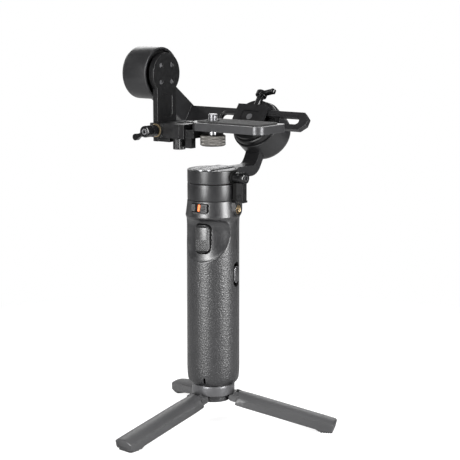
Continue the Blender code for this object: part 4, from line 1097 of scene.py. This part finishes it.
def make_leg(index, azimuth):
    """A leg with a round crown whose flanks break into a crease towards the foot, and a D-shaped tip."""
    place = leg_frame(azimuth)
    # along, width, crown, crease height, depth underneath
    stations = [
        (3.2, 14.8, 4.5, -2.6, 4.3), (5, 15.2, 4.5, -2, 4.3), (8, 15.6, 4.5, -0.6, 4.3),
        (11, 15.9, 4.5, 0.2, 4.3), (16, 16, 4.5, 0.8, 4.3), (30, 16, 4.4, 1.1, 4.35),
        (60.4, 16, 4.2, 1.5, 4.5),
        (63, 16, 4.2, 1.5, foot_under(63)), (LEG_LENGTH - 2.2, 16, 4.1, 1.5, foot_under(LEG_LENGTH - 2.2)),
    ]
    sections = [leg_section(0.6, 14.4, 4.3, 2.1, -1), leg_section(3.1, 14.8, 4.5, 2.2, -1)]
    for along in spread(3.2, 16, 0.8) + spread(17, 60, 2) + spread(60.4, LEG_LENGTH - 2.2, 0.8):
        sections.append(leg_section(along, *blended(stations, along)))
    for share in (0.35, 0.65, 0.85, 0.96, 1):
        along = LEG_LENGTH - 2.2 + 2.2 * share
        pull = 1 - sqrt(1 - (share * 0.97) ** 2)
        sections.append(leg_section(along, 16 - 3.4 * pull, 4.1 - 0.5 * pull, 1.5 - 0.3 * pull,
                                    foot_under(along) - 0.3 * pull))
    leg = lofted(sections)
    radius = 2.2
    knuckle = to_front(extruded(arc((0, 0), radius, 90, 270, 20) + [(4, -radius), (4, radius)], -7.2, 7.2))
    slot = block((-5, 3.2), (-3.3, 3.3), (-8, 8))
    under = slab(44, 11, 3, -9, -3.3, (34, 0))
    end_panel = slab(10, 5, 2.2, LEG_LENGTH - 0.3, 90, (0, 0.2))
    end_panel = moved(end_panel, columns(NORTH, UP, EAST, (0, 0, 0)))
    leg = cut(fused(leg, knuckle), slot, under, end_panel)
    piece(f"leg_shell_{index}", leg, "leg", f"leg_{index}", place @ rotation(LEG_SLOPE, "Y"), f"leg_{index}",
          0.22, 2, 30)
    bottom = -LEG_PIVOT[1] - LIFT
    sole = slab(8.4, 12, 1.6, bottom, bottom + 0.95, (64.8, 0))
    grooves = [block((x, x + 0.5), (-8, 8), (bottom - 1, bottom + 0.3)) for x in (62.4, 64, 65.6, 67.2)]
    piece(f"rubber_sole_{index}", cut(sole, *grooves), "rubber", f"leg_{index}", place, f"foot_pad_{index}",
          0.15, 2, 40)
    pin = [(0, -7.1), (1, -7.1), (1.1, -7), (1.1, 7), (1, 7.1), (0, 7.1)]
    piece(f"hinge_pin_{index}", turned(pin, 32), "dark", "handle", place @ FORWARD, f"leg_pin_{index}",
          angle=30)


# ---- carried-over nodes

HIDDEN_PARTS = {
    "base_cap": "satin", "main_board": "board", "battery_pack": "cell", "joystick_cradle": "dark",
    "pan_stator": "copper", "roll_stator": "copper", "tilt_stator": "copper",
    "pan_bearing": "steel", "roll_bearing": "steel", "tilt_bearing": "steel", "tripod_screw": "steel",
}


# ---- setting

AMBIENT = 0.10
FLOOR_GAP = 0.0002
SHADOW_REACH = (0.16, 0.42)  # the floor's shadows fade out between these distances
LENS, SENSOR = 109.6, 36.0
VIEW_AZIMUTH, VIEW_DISTANCE, VIEW_HEIGHT, VIEW_PITCH, VIEW_ASIDE = 37.0, 0.930, 0.2954, 9.8, 0.0114


def grey(level):
    return (level, level, level, 1)


def make_floor():
    """A white floor that keeps only the soft shadows near the object."""
    mesh = bpy.data.meshes.new("floor")
    bm = bmesh.new()
    bmesh.ops.create_grid(bm, x_segments=1, y_segments=1, size=40.0)
    bm.to_mesh(mesh)
    bm.free()
    floor = placed("floor", mesh)
    floor.location.z = -FLOOR_GAP
    paint = bpy.data.materials.new("floor_paint")
    paint.use_nodes = True
    tree = paint.node_tree
    tree.nodes.remove(tree.nodes["Principled BSDF"])
    white = shader_node(tree, "ShaderNodeEmission")
    near = shader_node(tree, "ShaderNodeEmission", {"Strength": 0.84})
    matt = shader_node(tree, "ShaderNodeBsdfDiffuse", {"Color": grey(0.30)})
    bounce = shader_node(tree, "ShaderNodeBsdfDiffuse", {"Color": grey(0.45)})
    lit = shader_node(tree, "ShaderNodeAddShader")
    place = shader_node(tree, "ShaderNodeTexCoord")
    reach = shader_node(tree, "ShaderNodeVectorMath", operation="LENGTH")
    fade = shader_node(tree, "ShaderNodeMapRange", {"From Min": SHADOW_REACH[0], "From Max": SHADOW_REACH[1]})
    path = shader_node(tree, "ShaderNodeLightPath")
    seen, either = (shader_node(tree, "ShaderNodeMixShader") for _ in range(2))
    for source, target in (
            (place.outputs["Object"], reach.inputs[0]), (reach.outputs["Value"], fade.inputs["Value"]),
            (near.outputs[0], lit.inputs[0]), (matt.outputs[0], lit.inputs[1]),
            (fade.outputs["Result"], seen.inputs["Fac"]), (lit.outputs[0], seen.inputs[1]),
            (white.outputs[0], seen.inputs[2]), (path.outputs["Is Camera Ray"], either.inputs["Fac"]),
            (bounce.outputs[0], either.inputs[1]), (seen.outputs[0], either.inputs[2]),
            (either.outputs[0], tree.nodes["Material Output"].inputs["Surface"])):
        tree.links.new(source, target)
    mesh.materials.append(paint)


def make_world():
    """White to the camera, a dim fill for the surfaces."""
    world = bpy.data.worlds.new("studio")
    world.use_nodes = True
    tree = world.node_tree
    back = tree.nodes["Background"]
    path = shader_node(tree, "ShaderNodeLightPath")
    level = shader_node(tree, "ShaderNodeMapRange", {"To Min": AMBIENT, "To Max": 1.0})
    tree.links.new(path.outputs["Is Camera Ray"], level.inputs["Value"])
    tree.links.new(level.outputs["Result"], back.inputs["Strength"])
    back.inputs["Color"].default_value = grey(1)
    bpy.context.scene.world = world


def make_camera():
    """The camera looks at the gimbal from its front right, a little from above."""
    azimuth = radians(VIEW_AZIMUTH)
    away = Vector((sin(azimuth), -cos(azimuth), 0))
    right = Vector((cos(azimuth), sin(azimuth), 0))
    base = Vector((pan_place.x, pan_place.y, 0)) * MM
    data = bpy.data.cameras.new("camera")
    data.sensor_width = SENSOR
    data.lens = LENS
    data.clip_start, data.clip_end = 0.05, 30
    camera = placed("camera", data)
    camera.location = base + away * VIEW_DISTANCE + right * VIEW_ASIDE + UP * VIEW_HEIGHT
    sight = -away * cos(radians(VIEW_PITCH)) - UP * sin(radians(VIEW_PITCH))
    camera.rotation_euler = sight.to_track_quat("-Z", "Y").to_euler()
    bpy.context.scene.camera = camera


def make_lights():
    """Two tall softboxes beside the camera, a low backdrop behind, and weak ones overhead and to the left."""
    target = Vector((0, 0, 0.16))
    # name, place, size, radiance
    for name, place, size, radiance in (
            ("left_box", (-0.02, -0.85, 0.28), (0.30, 0.95), 24.0),
            ("right_box", (0.86, 0.03, 0.28), (0.30, 0.95), 26.0),
            ("rear_box", (-0.62, 0.82, 0.66), (1.2, 0.55), 3.5),
            ("top_box", (0.05, 0.05, 1.15), (0.8, 0.8), 2.0),
            ("fill_box", (-0.9, -0.15, 0.5), (0.4, 0.8), 1.5)):
        data = bpy.data.lights.new(name, "AREA")
        data.shape = "RECTANGLE"
        data.size, data.size_y = size
        data.energy = radiance * pi * size[0] * size[1]
        lamp = placed(name, data)
        lamp.location = place
        lamp.rotation_euler = (target - Vector(place)).to_track_quat("-Z", "Y").to_euler()
        lamp.visible_camera = False


make_camera()
make_handle_shells()
make_accessory_pad()
make_trigger()
make_slide_switch()
make_rocker()
make_side_port()
make_control_panel()
make_joystick()
make_pan_motor()
make_pan_lock()
make_pan_arm()
make_roll_motor()
make_roll_clamp()
make_tilt_arm()
make_tilt_motor()
make_bracket()
make_platform()
make_camera_plate()
make_tripod_hub()
for number, leg_azimuth in enumerate(LEG_AZIMUTHS, start=1):
    make_leg(number, leg_azimuth)
for hidden, hidden_look in HIDDEN_PARTS.items():
    repaint(hidden, hidden_look)
make_floor()
make_world()
make_lights()
bpy.context.scene.view_settings.view_transform = "Standard"
